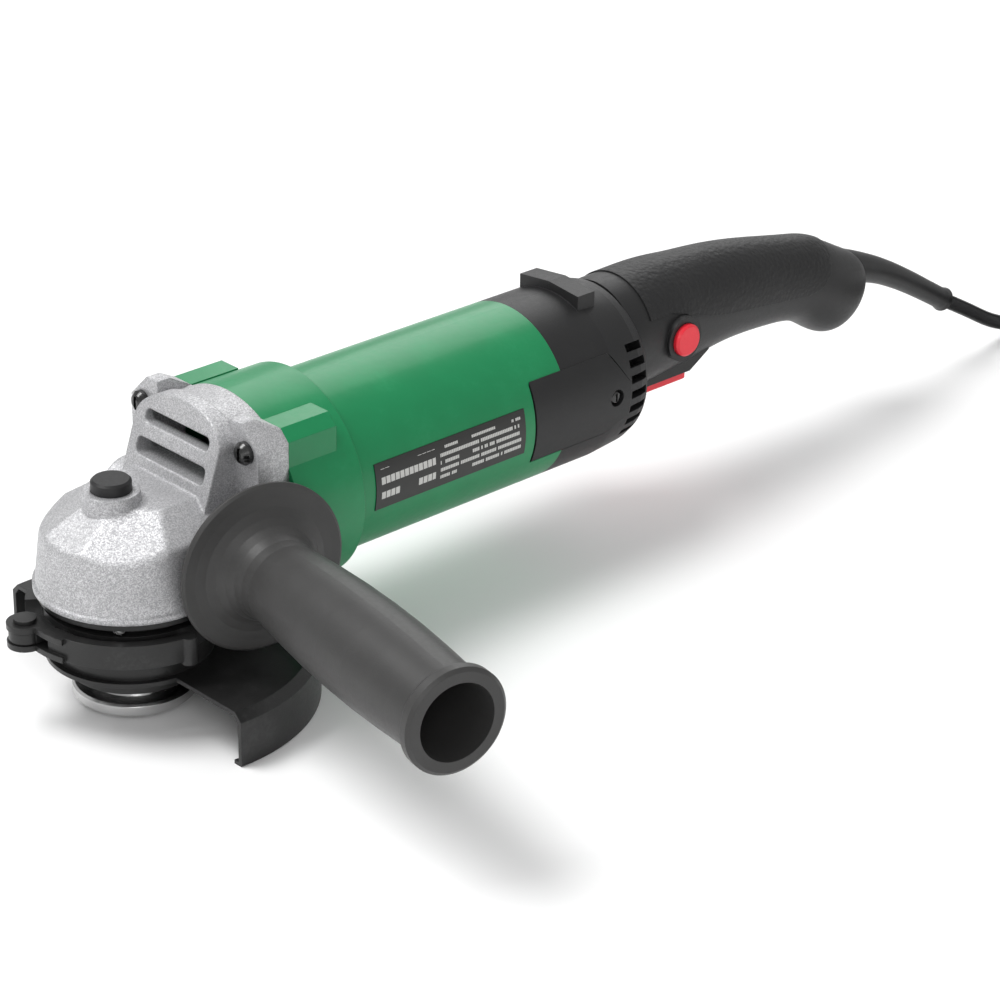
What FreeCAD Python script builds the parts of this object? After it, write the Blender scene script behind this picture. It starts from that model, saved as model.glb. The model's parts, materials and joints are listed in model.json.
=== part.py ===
"""A corded angle grinder for 115 mm discs: spindle head, motor, rear grip, side handle, guard and mains lead.

Frame: origin on the spindle axis at the outer face of the lock nut. +X runs to the rear grip, +Z runs up the
spindle, the side handle is on the -Y side. Millimetres.
"""

import FreeCAD, Part
import math
import os

Vector = FreeCAD.Vector
X, Y, Z = Vector(1, 0, 0), Vector(0, 1, 0), Vector(0, 0, 1)
RUNNING = 0.05  # radial clearance of a shaft in its hole
GAP = 0.4  # clearance between pieces that move past each other

# ---- heights, from the outer face of the lock nut ----
MOTOR_Z = 59.1  # motor axis above the nut's face
FLOOR_Z = -2.4  # lowest edge of the guard, which the tool rests on

# ---- clamping stack on the spindle ----
NUT_R = 21.0
NUT_RIM = 4.4
NUT_HUB_R = 15.0
NUT_TOP = 8.2
THREAD_R = 6.95
SPANNER_PCD = 30.0
SPANNER_R = 2.5
SPANNER_DEPTH = 3.4
NUT_RECESS_R = 11.8  # room for the disc's bore ring above the nut's pilot recess
PILOT_R = 11.1
PILOT_LENGTH = 3.0
INNER_FLANGE_R = 22.0
INNER_FLANGE_LOW = 9.2
INNER_FLANGE_TOP = 16.1
INNER_FLANGE_NECK_R = 17.0

# ---- spindle ----
COLLAR_R = 9.5
SPINDLE_BEARING_LOW = 29.4
SPINDLE_BEARING_WIDTH = 11.0
SPINDLE_BEARING_R = 17.5
SPINDLE_SEAT_R = 7.5
GEAR_BORE_R = 6.0
JOURNAL_R = 3.5
JOURNAL_TOP = 64.4

# ---- bevel gears, whose shared apex is where the two axes cross ----
GEAR_TEETH = 37
PINION_TEETH = 12
GEAR_MODULE = 1.1
GEAR_FACE = 6.0
ADDENDUM = 0.75  # of the module
DEDENDUM = 1.15  # of the module
BACKLASH = 0.40
PRESSURE_ANGLE = 20.0
GEAR_RIM = 3.4  # metal behind the teeth
PINION_BORE_R = 3.5

# ---- gear housing ----
HEAD_R = 31.8
HEAD_NARROW = 0.12  # how much the head's sides lean in for each millimetre of height
HEAD_LOW = 40.1
HEAD_TOP = 71.8
HEAD_LIP = 2.0
HEAD_LIP_R = 32.4
HEAD_WALL_R = 25.5  # radius of the gear chamber
HEAD_WALL_TOP = 55.6
HEAD_CEILING_R = 17.0
HEAD_CEILING = 64.6
PINION_ROOM_R = 10.0
SOFTEN = 3.6
BEVELS = (  # flat cuts on the head's top: (direction in degrees, distance where it starts, slope)
    (90, 16.5, 0.72), (-90, 16.5, 0.72), (135, 11.0, 0.64), (-135, 11.0, 0.64), (180, 10.0, 0.56),
)
FLANGE_FRONT_X = 28.0
FLANGE_WAIST_X = 33.5
FLANGE_BACK_X = 42.0
LUG_HALF_Y = 33.5
LUG_HALF_Z = 38.0
LUG_CHAMFER = 8.5
FLANGE_HALF_Y = 32.0
FLANGE_HALF_Z = 33.2
FLANGE_CHAMFER = 4.0
LUG_INNER_Y = 19.0
FLANGE_SCREW_R = 2.1
FLANGE_SCREW_Y = 27.3
FLANGE_SCREW_Z = 28.5  # above and below the motor axis
FLANGE_SCREW_REACH = 31.0
DUCT_HALF_Y = 19.0
ARCH_R = 37.8
VENT_WALL_FOOT_X = 15.6
VENT_WALL_LEAN = 0.33
VENT_WALL_HALF = 22.0
VENT_WALL_SPRING_Z = 87.0  # where its round top springs from the straight sides
VENT_WALL_TOP = 98.4
VENT_SLOTS = ((75.4, 81.4, 18.0), (86.1, 90.8, 16.8))  # (low, high, half width)
VENT_CORNER = 2.0
HANDLE_BOSS_R = 12.5
THREAD_M10_R = 5.0

# ---- spindle lock ----
LOCK_X = -6.4
LOCK_PIN_X = -8.6
LOCK_CAP_R = 6.8
LOCK_CAP_TOP = 79.6
LOCK_CAP_LOW = 74.4
LOCK_TRAVEL = 3.5
LOCK_PIN_R = 2.0
LOCK_PIN_LOW = 56.9
LOCK_BOSS_R = 9.6
LOCK_BOSS_TOP = 75.6
LOCK_FLOOR = 69.0
LOCK_POCKET_R = 2.3
LOCK_HUB_R = abs(LOCK_PIN_X) + LOCK_POCKET_R + 1.6
GEAR_SEAT_TOP = LOCK_PIN_LOW - LOCK_TRAVEL - GAP
LOCK_SPRING_R = 5.4
BUSH_R = 5.6
BUSH_LOW = GEAR_SEAT_TOP + 3.0

# ---- bearing cover and guard seat ----
COVER_R = 31.2
COVER_LOW = 37.6
NECK_R = 25.5
NECK_LOW = 17.6
COVER_SCREW_PCD_R = 28.2
COVER_SCREW_R = 1.8
COVER_SCREW_REACH = 9.0

# ---- guard ----
GUARD_R = 62.6
GUARD_PLATE_Z = 17.0
GUARD_SHEET = 1.6
GUARD_LIP = 2.2
GUARD_EDGE_X = -4.7
GUARD_COLLAR_SHEET = 1.7
GUARD_COLLAR_TOP = 34.4
BAND_LOW = 26.1
BAND_TOP = 34.6
BAND_SHEET = 2.4
EAR_X = -37.0
EAR_Y = 8.6
EAR_R = 5.6
LEVER_R = 36.2
LEVER_THICK = 3.6
LEVER_END_ANGLE = 264.0
LEVER_START_ANGLE = 196.0
LEVER_PIN_R = 2.2
BAND_IN = NECK_R + RUNNING + GUARD_COLLAR_SHEET
BAND_OUT = BAND_IN + BAND_SHEET
EAR_ANGLE = math.degrees(math.atan2(EAR_Y, EAR_X))

# ---- motor housing ----
HOUSING_R = 33.0
HOUSING_WALL = 2.6
HOUSING_END_X = 169.5
ARCH_END_X = 70.0
CORNER_END_X = 62.5

# ---- armature and field ----
SHAFT_R = 5.0
FRONT_BEARING_X = 29.6
FRONT_BEARING_WIDTH = 9.0
FRONT_BEARING_R = 15.0
REAR_BEARING_X = 191.0
REAR_BEARING_WIDTH = 7.0
REAR_BEARING_R = 11.0
REAR_SEAT_R = 4.0
PINION_NOSE_X = 13.0
FAN_X = 46.0
FAN_WIDTH = 11.0
FAN_R = 28.4
FAN_HUB_R = 9.0
FAN_BLADES = 14
BAFFLE_X = 60.0
BAFFLE_HOLE_R = 19.0
CORE_X = 82.0
CORE_LENGTH = 52.0
CORE_R = 18.0
AIR_GAP = 0.6
STATOR_R = 29.6
WINDOW_Y = 21.6  # middle of the stator's winding windows
COIL_OVERHANG = 11.0
COMMUTATOR_X = 162.0
COMMUTATOR_LENGTH = 18.0
COMMUTATOR_R = 12.0

# ---- brushes ----
BRUSH_X = 171.0
BRUSH_WIDTH = 6.0
BRUSH_HEIGHT = 9.0
BRUSH_LENGTH = 10.0
BRUSH_HOLDER_END = 28.0
COVER_OUTLINE = ((154.0, 76.0), (192.5, 76.0), (201.0, 63.5), (201.0, 50.5), (190.5, 46.0), (154.0, 46.0))
COVER_GROOVE = 0.5
COVER_FACE_R = HOUSING_R + 0.3
COVER_BED_Y = HOUSING_R - 4.4
COVER_SCREW_X = 194.0
COVER_SCREW_HEAD_R = 2.7

# ---- rear housing ----
REAR_WALL = 3.0
REAR_TAPER_X = 208.0
REAR_TAPER_R = 31.8
REAR_END_X = 214.0
REAR_END_R = 28.6
RIDGE_X = 195.0
RIDGE_HALF_X = 4.2
RIDGE_HALF_Y = 15.0
RIDGE_TOP_R = 36.4
RIDGE_SHOULDER_R = 34.8
VENT_COUNT = 7
VENT_PITCH_DEG = 10.5
VENT_START_DEG = -34.0
VENT_X = 202.5
VENT_LENGTH = 8.6
VENT_HEIGHT = 3.0

# ---- rear grip: (x, centre height, half height, half width) ----
GRIP_SECTIONS = (
    (214.4, 66.2, 22.8, 22.4),
    (223.5, 66.7, 22.8, 22.0),
    (232.0, 67.1, 22.8, 21.2),
    (243.0, 67.4, 22.7, 19.9),
    (260.0, 67.4, 21.4, 17.6),
    (280.0, 67.5, 19.4, 16.2),
    (302.0, 65.2, 17.9, 14.6),
    (318.0, 62.5, 17.3, 14.2),
    (332.0, 57.3, 19.2, 14.4),
    (343.0, 52.6, 18.7, 13.8),
    (351.5, 51.4, 15.5, 12.2),
    (358.0, 53.4, 9.4, 9.0),
)
GRIP_WALL = 2.8
GRIP_SCREWS = ((292.0, 58.0), (334.0, 55.0))  # (x, height)
GRIP_SCREW_R = 1.4
GRIP_SCREW_HEAD_R = 2.6
GRIP_SCREW_SEAT = 8.6  # y of the heads' underside
GRIP_POST_R = 3.8
PAD_THICK = 0.5
PAD_OUTLINE = (
    (224, 77.0), (236, 76.5), (258, 69.0), (269, 66.4), (300, 61.6), (318, 59.4), (325, 60.6), (331, 65),
    (336, 75), (337, 110), (224, 110),
)
GRIP_SOLID_X = 346.0  # the tail is solid from here on
TRIGGER_HOUSING_X = (216.0, 260.0)
TRIGGER_HOUSING_LOW = 46.1
TRIGGER_HOUSING_HALF_Y = 12.5

# ---- switch ----
TRIGGER_X = (229.0, 256.0)
TRIGGER_HALF_Y = 8.0
TRIGGER_LOW = 40.4
TRIGGER_TOP = 52.0
TRIGGER_TRAVEL = 5.0
TRIGGER_SPRING_R = 4.2
SWITCH_LOW = 58.4
SWITCH_HIGH = 79.0
SWITCH_HALF_Y = 8.0
SWITCH_X = (227.0, 262.0)
STEM_X = 243.0
STEM_R = 2.0
LOCKON_X = 240.0
LOCKON_Z = 66.0
LOCKON_R = 6.2
LOCKON_FACE_Y = -24.6
LOCKON_TRAVEL = 3.0
LOCKON_COLLAR_R = 8.6
LOCKON_CAP_DEPTH = 7.0
CAPACITOR_BOX = (266, 284, -6, 6, 60, 76)
CLAMP_X = 322.0
CLAMP_TOP = 66.0
CLAMP_THICK = 4.0
CLAMP_SCREW_Y = 6.2

# ---- side handle, whose axis is raked towards the nose ----
HANDLE_RAKE_DEG = 10.3
HANDLE_AT = (22.8, -39.5, 53.3)  # centre of the hand flange's outer face
HANDLE_FLANGE_R = 29.7
HANDLE_LENGTH = 120.8
HANDLE_BEAD_R = 17.9
HANDLE_HOLE_R = 13.15
HANDLE_SEAT = 5.0  # from the flange's outer face back to the boss
STUD_REACH = 10.0
STUD_HOLD = 24.0

# ---- mains lead ----
RELIEF_PATH = (  # (x, height, radius) at the root, the bends and the mouth
    (348.0, 60.2, 7.2),
    (357.0, 57.3, 6.8),
    (366.0, 54.4, 6.0),
    (377.0, 50.1, 5.3),
    (391.7, 42.5, 4.8),
    (406.3, 33.9, 4.5),
    (419.0, 26.2, 4.3),
)
RELIEF_BEAD_R = 5.3
RELIEF_BEAD = 3.0
CORD_R = 3.0
CORD_POINTS = (
    (419.0, 0.0, 26.2),
    (434.0, -0.3, 18.1),
    (453.0, -0.6, 6.8),
    (471.0, -0.3, 0.7),
    (487.0, 0.2, 0.62),
)
COIL_CENTRE = (487.5, -45.0)
COIL_MID_R = 33.0
COIL_BAND = 18.0
COIL_HEIGHT = 18.0
PLUG_AT = (476.5, -78.0, 15.7)  # under the middle of the plug, on top of the coil
PLUG_LENGTH = 34.0
PLUG_WIDTH = 16.0
PLUG_HEIGHT = 15.0
PIN_R = 2.4
PIN_LENGTH = 19.0
PIN_HALF_PITCH = 5.0


# ---------------------------------------------------------------- helpers

def vec(point):
    return Vector(*point)


def rod(radius, start, end):
    """A round bar between two points."""
    start, end = vec(start), vec(end)
    return Part.makeCylinder(radius, (end - start).Length, start, end - start)


def rod_x(radius, x0, x1, y=0.0, z=MOTOR_Z):
    return rod(radius, (x0, y, z), (x1, y, z))


def rod_z(radius, z0, z1, x=0.0, y=0.0):
    return rod(radius, (x, y, z0), (x, y, z1))


def tube_x(outer, inner, x0, x1, y=0.0, z=MOTOR_Z):
    return rod_x(outer, x0, x1, y, z).cut(rod_x(inner, x0 - 1, x1 + 1, y, z))


def tube_z(outer, inner, z0, z1, x=0.0, y=0.0):
    return rod_z(outer, z0, z1, x, y).cut(rod_z(inner, z0 - 1, z1 + 1, x, y))


def block(x0, x1, y0, y1, z0, z1):
    return Part.makeBox(x1 - x0, y1 - y0, z1 - z0, Vector(x0, y0, z0))


def prism(points, sweep):
    """A closed polygon of 3-D points, swept along a vector."""
    corners = [vec(p) for p in points]
    return Part.Face(Part.makePolygon(corners + corners[:1])).extrude(sweep)


def lathe(profile, at, axis, side):
    """A solid of revolution. The profile's points are (distance along axis, radius)."""
    corners = [at + axis * t + side * r for t, r in profile]
    face = Part.Face(Part.makePolygon(corners + corners[:1]))
    return face.revolve(at, axis, 360)


def lathe_z(profile):
    return lathe(profile, Vector(0, 0, 0), Z, X)


def lathe_x(profile):
    return lathe(profile, Vector(0, 0, MOTOR_Z), X, Y)


def fuse(shapes):
    shapes = list(shapes)
    return shapes[0].fuse(shapes[1:]).removeSplitter() if len(shapes) > 1 else shapes[0]


def group(shapes):
    """Separate solids kept in one node."""
    return Part.makeCompound([s for shape in shapes for s in shape.Solids])


def mirrored(shape):
    return shape.mirror(Vector(0, 0, 0), Y)


def rounded(shape, radius, wanted):
    """Fillets the edges that pass a test, as large as the shape allows."""
    edges = [e for e in shape.Edges if wanted(e)]
    for share in (1.0, 0.7, 0.4):
        try:
            out = shape.makeFillet(radius * share, edges)
        except Part.OCCError:
            continue
        if out.isValid() and out.Volume > 0:
            return out
    return shape


def mid(edge):
    return edge.valueAt((edge.FirstParameter + edge.LastParameter) / 2)


def around_z(shape, count, start=0.0):
    return [shape.rotated(Vector(0, 0, 0), Z, start + 360.0 * i / count) for i in range(count)]


def around_x(shape, count, start=0.0):
    return [shape.rotated(Vector(0, 0, MOTOR_Z), X, start + 360.0 * i / count) for i in range(count)]


# ---------------------------------------------------------------- bevel gears

def bevel_gear(teeth, mate, phase_deg, hub):
    """A straight bevel gear about +Z with its apex at the origin and its teeth below. hub is the
    (radius, height) of the flat face that closes the back of the gear."""
    pitch_r = GEAR_MODULE * teeth / 2
    cone = math.atan2(teeth, mate)
    reach = pitch_r / math.sin(cone)
    inner = (reach - GEAR_FACE) / reach
    lean = math.tan(math.radians(PRESSURE_ANGLE))
    half = math.pi * GEAR_MODULE / 4 - BACKLASH / 4

    def point(height, side, tooth, scale):
        radius = reach * math.sin(cone) + height * math.cos(cone)
        level = -reach * math.cos(cone) + height * math.sin(cone)
        width = max(half - height * lean, 0.12)
        angle = math.radians(phase_deg) + 2 * math.pi * tooth / teeth + side * width / pitch_r
        return Vector(radius * math.cos(angle), radius * math.sin(angle), level) * scale

    top, root = ADDENDUM * GEAR_MODULE, -DEDENDUM * GEAR_MODULE
    outline = [(root, -1), (top, -1), (top, 1), (root, 1)]
    outer_ring = [point(h, s, i, 1.0) for i in range(teeth) for h, s in outline]
    inner_ring = [point(h, s, i, inner) for i in range(teeth) for h, s in outline]
    faces = []
    count = len(outer_ring)
    base_r, base_z = hub
    crown_centre = Vector(0, 0, inner_ring[0].z)
    back = [Vector(base_r * math.cos(math.atan2(p.y, p.x)), base_r * math.sin(math.atan2(p.y, p.x)), base_z)
            for p in outer_ring]
    for i in range(count):
        j = (i + 1) % count
        faces.append(flat(outer_ring[i], outer_ring[j], inner_ring[j], inner_ring[i]))
        faces += [flat(outer_ring[i], back[j], outer_ring[j]), flat(outer_ring[i], back[i], back[j])]
        faces.append(flat(inner_ring[i], inner_ring[j], crown_centre))
    faces.append(Part.Face(Part.makePolygon(back + back[:1])))
    return Part.Solid(Part.makeShell(faces))


def flat(*corners):
    corners = [c for i, c in enumerate(corners) if (c - corners[i - 1]).Length > 1e-7]
    return Part.Face(Part.makePolygon(list(corners) + [corners[0]]))


def drive_gear():
    back_z = -GEAR_MODULE * PINION_TEETH / 2 - GEAR_RIM - DEDENDUM
    back_r = GEAR_MODULE * GEAR_TEETH / 2 - 1.0
    blank = bevel_gear(GEAR_TEETH, PINION_TEETH, 180.0 / GEAR_TEETH, (back_r, back_z))
    gear = blank.translated(Vector(0, 0, MOTOR_Z))
    low = MOTOR_Z + back_z
    hub_top = GEAR_SEAT_TOP
    gear = gear.fuse(rod_z(LOCK_HUB_R, low, hub_top))
    pockets = around_z(rod_z(LOCK_POCKET_R, hub_top - 3.0, hub_top + 20, LOCK_PIN_X), 4)
    crown = rod_z(LOCK_HUB_R, hub_top, hub_top + 20)
    return gear.cut(rod_z(GEAR_BORE_R, low - 1, hub_top + 20).fuse(pockets + [crown]))


def pinion():
    back_z = -GEAR_MODULE * GEAR_TEETH / 2 - 1.2
    blank = bevel_gear(PINION_TEETH, GEAR_TEETH, 0.0, (GEAR_MODULE * PINION_TEETH / 2 - 1.2, back_z))
    # +Z of the gear's own frame turns to -X, so that its apex side faces the spindle
    gear = blank.rotated(Vector(0, 0, 0), Y, -90).translated(Vector(0, 0, MOTOR_Z))
    hub = rod_x(7.0, -back_z, FRONT_BEARING_X)
    return gear.fuse(hub).cut(rod_x(PINION_BORE_R, 0, FRONT_BEARING_X + 1))


# ---------------------------------------------------------------- spindle and clamping stack

def spindle():
    bearing_top = SPINDLE_BEARING_LOW + SPINDLE_BEARING_WIDTH
    profile = [
        (1.2, 0), (1.2, THREAD_R - 1), (2.2, THREAD_R), (INNER_FLANGE_TOP, THREAD_R),
        (INNER_FLANGE_TOP, COLLAR_R), (SPINDLE_BEARING_LOW, COLLAR_R), (SPINDLE_BEARING_LOW, SPINDLE_SEAT_R),
        (bearing_top, SPINDLE_SEAT_R), (bearing_top, GEAR_BORE_R), (GEAR_SEAT_TOP, GEAR_BORE_R),
        (GEAR_SEAT_TOP, JOURNAL_R), (JOURNAL_TOP, JOURNAL_R), (JOURNAL_TOP, 0),
    ]
    return lathe_z(profile)


def spindle_clip():
    low = GEAR_SEAT_TOP
    return tube_z(GEAR_BORE_R - 0.2, JOURNAL_R, low, low + 1.0)


def lock_nut():
    rim = lathe_z([(0, 0), (0, NUT_R - 0.6), (0.6, NUT_R), (NUT_RIM - 0.8, NUT_R), (NUT_RIM, NUT_R - 0.8),
                   (NUT_RIM, NUT_HUB_R), (NUT_TOP, NUT_HUB_R - 0.6), (NUT_TOP, 0)])
    holes = [rod_z(SPANNER_R, -1, SPANNER_DEPTH, x) for x in (-SPANNER_PCD / 2, SPANNER_PCD / 2)]
    recess = rod_z(NUT_RECESS_R, INNER_FLANGE_LOW - PILOT_LENGTH - GAP, NUT_TOP + 1)
    bore = rod_z(THREAD_R + RUNNING, -1, NUT_TOP + 1)
    return rim.cut(fuse(holes + [recess, bore]))


def inner_flange():
    low, top = INNER_FLANGE_LOW, INNER_FLANGE_TOP
    body = lathe_z([(low - PILOT_LENGTH, 0), (low - PILOT_LENGTH, PILOT_R), (low, PILOT_R),
                    (low, INNER_FLANGE_R), (low + 4.2, INNER_FLANGE_R), (low + 5.0, INNER_FLANGE_R - 0.8),
                    (low + 5.0, INNER_FLANGE_NECK_R), (top, INNER_FLANGE_NECK_R - 1), (top, 0)])
    return body.cut(rod_z(THREAD_R, low - PILOT_LENGTH - 1, top + 1))


# ---------------------------------------------------------------- bearings

def ball_bearing(outer, bore, width, balls):
    """A ball bearing about +Z from z = 0: outer race, inner race and balls, each a separate solid."""
    pitch = (outer + bore) / 2
    ball_r = min((outer - bore) * 0.24, width * 0.36)
    race = (outer - bore) * 0.27
    groove = Part.makeTorus(pitch, ball_r + 0.05, Vector(0, 0, width / 2), Z)
    outer_race = tube_z(outer, outer - race, 0, width).cut(groove)
    inner_race = tube_z(bore + race, bore, 0, width).cut(groove)
    ball = Part.makeSphere(ball_r, Vector(pitch, 0, width / 2))
    return group([outer_race, inner_race] + around_z(ball, balls))


def bearing_on_x(outer, bore, width, balls, x):
    bearing = ball_bearing(outer, bore, width, balls)
    return bearing.rotated(Vector(0, 0, 0), Y, 90).translated(Vector(x, 0, MOTOR_Z))


def front_bearing():
    return bearing_on_x(FRONT_BEARING_R, SHAFT_R + RUNNING, FRONT_BEARING_WIDTH, 9, FRONT_BEARING_X)


def rear_bearing():
    return bearing_on_x(REAR_BEARING_R, REAR_SEAT_R + RUNNING, REAR_BEARING_WIDTH, 8, REAR_BEARING_X)


def spindle_bearing():
    bearing = ball_bearing(SPINDLE_BEARING_R, SPINDLE_SEAT_R + RUNNING, SPINDLE_BEARING_WIDTH, 9)
    return bearing.translated(Vector(0, 0, SPINDLE_BEARING_LOW))


def spindle_bush():
    return tube_z(BUSH_R, JOURNAL_R + RUNNING, BUSH_LOW, HEAD_CEILING)


def dust_seal():
    return tube_z(SPINDLE_BEARING_R, COLLAR_R + RUNNING, SPINDLE_BEARING_LOW - 4.0, SPINDLE_BEARING_LOW)


# ---------------------------------------------------------------- gear housing

def handle_axis():
    rake = math.radians(HANDLE_RAKE_DEG)
    return Vector(-math.sin(rake), -math.cos(rake), 0)


def handle_point(distance):
    """A point on the side handle's axis, that far outside the hand flange's outer face."""
    return vec(HANDLE_AT) + handle_axis() * distance


def handle_rod(radius, t0, t1):
    return Part.makeCylinder(radius, t1 - t0, handle_point(t0), handle_axis())


def head_outline(radius, end_x, z):
    """The head from above: a half round about the spindle, and straight sides to the rear."""
    nose = Part.Arc(Vector(0, radius, z), Vector(-radius, 0, z), Vector(0, -radius, z)).toShape()
    rear = Part.makePolygon([Vector(0, -radius, z), Vector(end_x, -radius, z),
                             Vector(end_x, radius, z), Vector(0, radius, z)])
    return Part.Wire([nose] + rear.Edges)


def slab_above(point, normal):
    """A large block on the far side of a plane, for cutting a bevel."""
    size = 200
    slab = Part.makeBox(size, size, size, Vector(-size / 2, -size / 2, 0))
    slab.Placement = FreeCAD.Placement(vec(point), FreeCAD.Rotation(Z, vec(normal)))
    return slab


def head_casting():
    """The gear head without its openings: tapered sides, and a top that falls away on three sides."""
    end_x = FLANGE_FRONT_X + 2
    narrow = HEAD_R - HEAD_NARROW * (HEAD_TOP - HEAD_LOW)
    body = Part.makeLoft([head_outline(HEAD_R, end_x, HEAD_LOW),
                          head_outline(narrow, end_x, HEAD_TOP)], True, True)
    for degrees, start, slope in BEVELS:
        away = Vector(math.cos(math.radians(degrees)), math.sin(math.radians(degrees)), 0)
        body = body.cut(slab_above(tuple(away * start + Z * HEAD_TOP), tuple(away * slope + Z)))
    soft = [e for e in body.Edges if e.BoundBox.ZMin > HEAD_LOW + 9 and e.BoundBox.XMax < end_x - 1]
    body = body.makeFillet(SOFTEN, soft)
    lip = Part.Face(head_outline(HEAD_LIP_R, end_x, HEAD_LOW)).extrude(Z * HEAD_LIP)
    return body.fuse(lip)


def vent_wall(front, back):
    """The wall with the air slots: straight sides, a half-elliptical top, and a front that leans back."""
    half, spring, top = VENT_WALL_HALF, VENT_WALL_SPRING_Z, VENT_WALL_TOP
    low = HEAD_TOP - 8
    foot = Part.makePolygon([Vector(front, half, spring), Vector(front, half, low),
                             Vector(front, -half, low), Vector(front, -half, spring)])
    centre = Vector(front, 0, spring)
    curve = Part.Ellipse(centre + Y * half, centre + Z * (top - spring), centre)
    arch = curve.toShape(0, math.pi)
    outline = Part.Wire(Part.__sortEdges__(foot.Edges + [arch]))
    wall = Part.Face(outline).extrude(Vector(back - front, 0, 0))
    lean = slab_above((VENT_WALL_FOOT_X, 0, HEAD_TOP), (-1, 0, VENT_WALL_LEAN))
    return wall.cut(lean)


def octagon(half_y, half_z, chamfer, x):
    corners = [(-half_y, half_z - chamfer), (-half_y + chamfer, half_z), (half_y - chamfer, half_z),
               (half_y, half_z - chamfer), (half_y, -half_z + chamfer), (half_y - chamfer, -half_z),
               (-half_y + chamfer, -half_z), (-half_y, -half_z + chamfer)]
    return [Vector(x, y, MOTOR_Z + z) for y, z in corners]


def closed(points):
    return Part.makePolygon(points + points[:1])


def flange_outline(x0, x1):
    """The square outline that the head's flange and the motor housing share."""
    outline = Part.Face(closed(octagon(FLANGE_HALF_Y, FLANGE_HALF_Z, FLANGE_CHAMFER, x0)))
    return outline.extrude(Vector(x1 - x0, 0, 0))


def between_lugs(x0, x1):
    return block(x0, x1, -LUG_INNER_Y, LUG_INNER_Y, MOTOR_Z - 60, MOTOR_Z + 60)


def screw_places():
    return [(side * FLANGE_SCREW_Y, MOTOR_Z + up * FLANGE_SCREW_Z) for side in (-1, 1) for up in (-1, 1)]


def flange_plate():
    """The rear flange: four corner lugs that slope down to the motor housing, joined by an arch on top."""
    front, waist, back = FLANGE_FRONT_X, FLANGE_WAIST_X, FLANGE_BACK_X
    large = octagon(LUG_HALF_Y, LUG_HALF_Z, LUG_CHAMFER, front)
    lugs = Part.Face(closed(large)).extrude(Vector(waist - front, 0, 0))
    slope = Part.makeLoft([closed(octagon(LUG_HALF_Y, LUG_HALF_Z, LUG_CHAMFER, waist)),
                           closed(octagon(FLANGE_HALF_Y, FLANGE_HALF_Z, FLANGE_CHAMFER, back))], True, True)
    lugs = lugs.fuse(slope).cut(between_lugs(front - 1, back + 1))
    arch = rod_x(ARCH_R, front, back).common(block(front, back, -FLANGE_HALF_Y, FLANGE_HALF_Y, MOTOR_Z, 200))
    plate = fuse([lugs, arch, flange_outline(waist, back)])
    return plate.cut(rod_z(COVER_R + 0.8, FLOOR_Z, HEAD_LOW))


def gear_housing():
    solid = fuse([
        head_casting(),
        vent_wall(VENT_WALL_FOOT_X - 3, FLANGE_FRONT_X + 2),
        flange_plate(),
        rod_z(LOCK_BOSS_R, HEAD_TOP - 6, LOCK_BOSS_TOP, LOCK_X),
        handle_rod(HANDLE_BOSS_R, -24, -HANDLE_SEAT),
        mirrored(handle_rod(HANDLE_BOSS_R, -24, -HANDLE_SEAT)),
    ])
    ceiling = lathe_z([(HEAD_LOW - 1, 0), (HEAD_LOW - 1, HEAD_WALL_R), (HEAD_WALL_TOP, HEAD_WALL_R),
                       (HEAD_CEILING, HEAD_CEILING_R), (HEAD_CEILING, 0)])
    ceiling = ceiling.cut(rod_z(LOCK_HUB_R, BUSH_LOW, HEAD_CEILING + 1))
    slots = [vent_slot(low, high, half) for low, high, half in VENT_SLOTS]
    cuts = [
        ceiling,
        rod_x(PINION_ROOM_R, 0, FRONT_BEARING_X + 1),
        rod_x(FRONT_BEARING_R, FRONT_BEARING_X, FLANGE_BACK_X + 1),
        rod_x(HOUSING_R - 3.0, FRONT_BEARING_X + FRONT_BEARING_WIDTH + 0.6, FLANGE_BACK_X + 1),
        air_duct(),
        rod_z(BUSH_R, BUSH_LOW - 1, HEAD_CEILING),
        rod_z(LOCK_PIN_R + RUNNING, BUSH_LOW - 1, LOCK_FLOOR + 1, LOCK_PIN_X),
        rod_z(LOCK_CAP_R + 0.1, LOCK_FLOOR, LOCK_BOSS_TOP + 1, LOCK_X),
        handle_rod(THREAD_M10_R, -HANDLE_SEAT - STUD_REACH - 4, 0),
        mirrored(handle_rod(THREAD_M10_R, -HANDLE_SEAT - STUD_REACH - 4, 0)),
    ] + slots
    for y, z in screw_places():
        cuts.append(rod(FLANGE_SCREW_R, (FLANGE_FRONT_X - 1, y, z), (FLANGE_BACK_X + 1, y, z)))
    for screw in cover_screw_axes():
        cuts.append(rod_z(COVER_SCREW_R, HEAD_LOW - 1, COVER_LOW + COVER_SCREW_REACH + 1, *screw))
    return solid.cut(fuse(cuts))


def vent_slot(low, high, half):
    """The cutter of one air slot, with round ends."""
    slot = block(0, FLANGE_BACK_X + 1, -half, half, low, high)
    return slot.makeFillet(VENT_CORNER, [e for e in slot.Edges if e.BoundBox.XLength > FLANGE_BACK_X])


def air_duct():
    """The space behind the slots, which lets the fan's air out of the head."""
    low, high = VENT_SLOTS[0][0], VENT_SLOTS[1][1] + 1
    return block(VENT_WALL_FOOT_X + 9, FLANGE_BACK_X + 1, -DUCT_HALF_Y, DUCT_HALF_Y, low, high)


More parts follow.
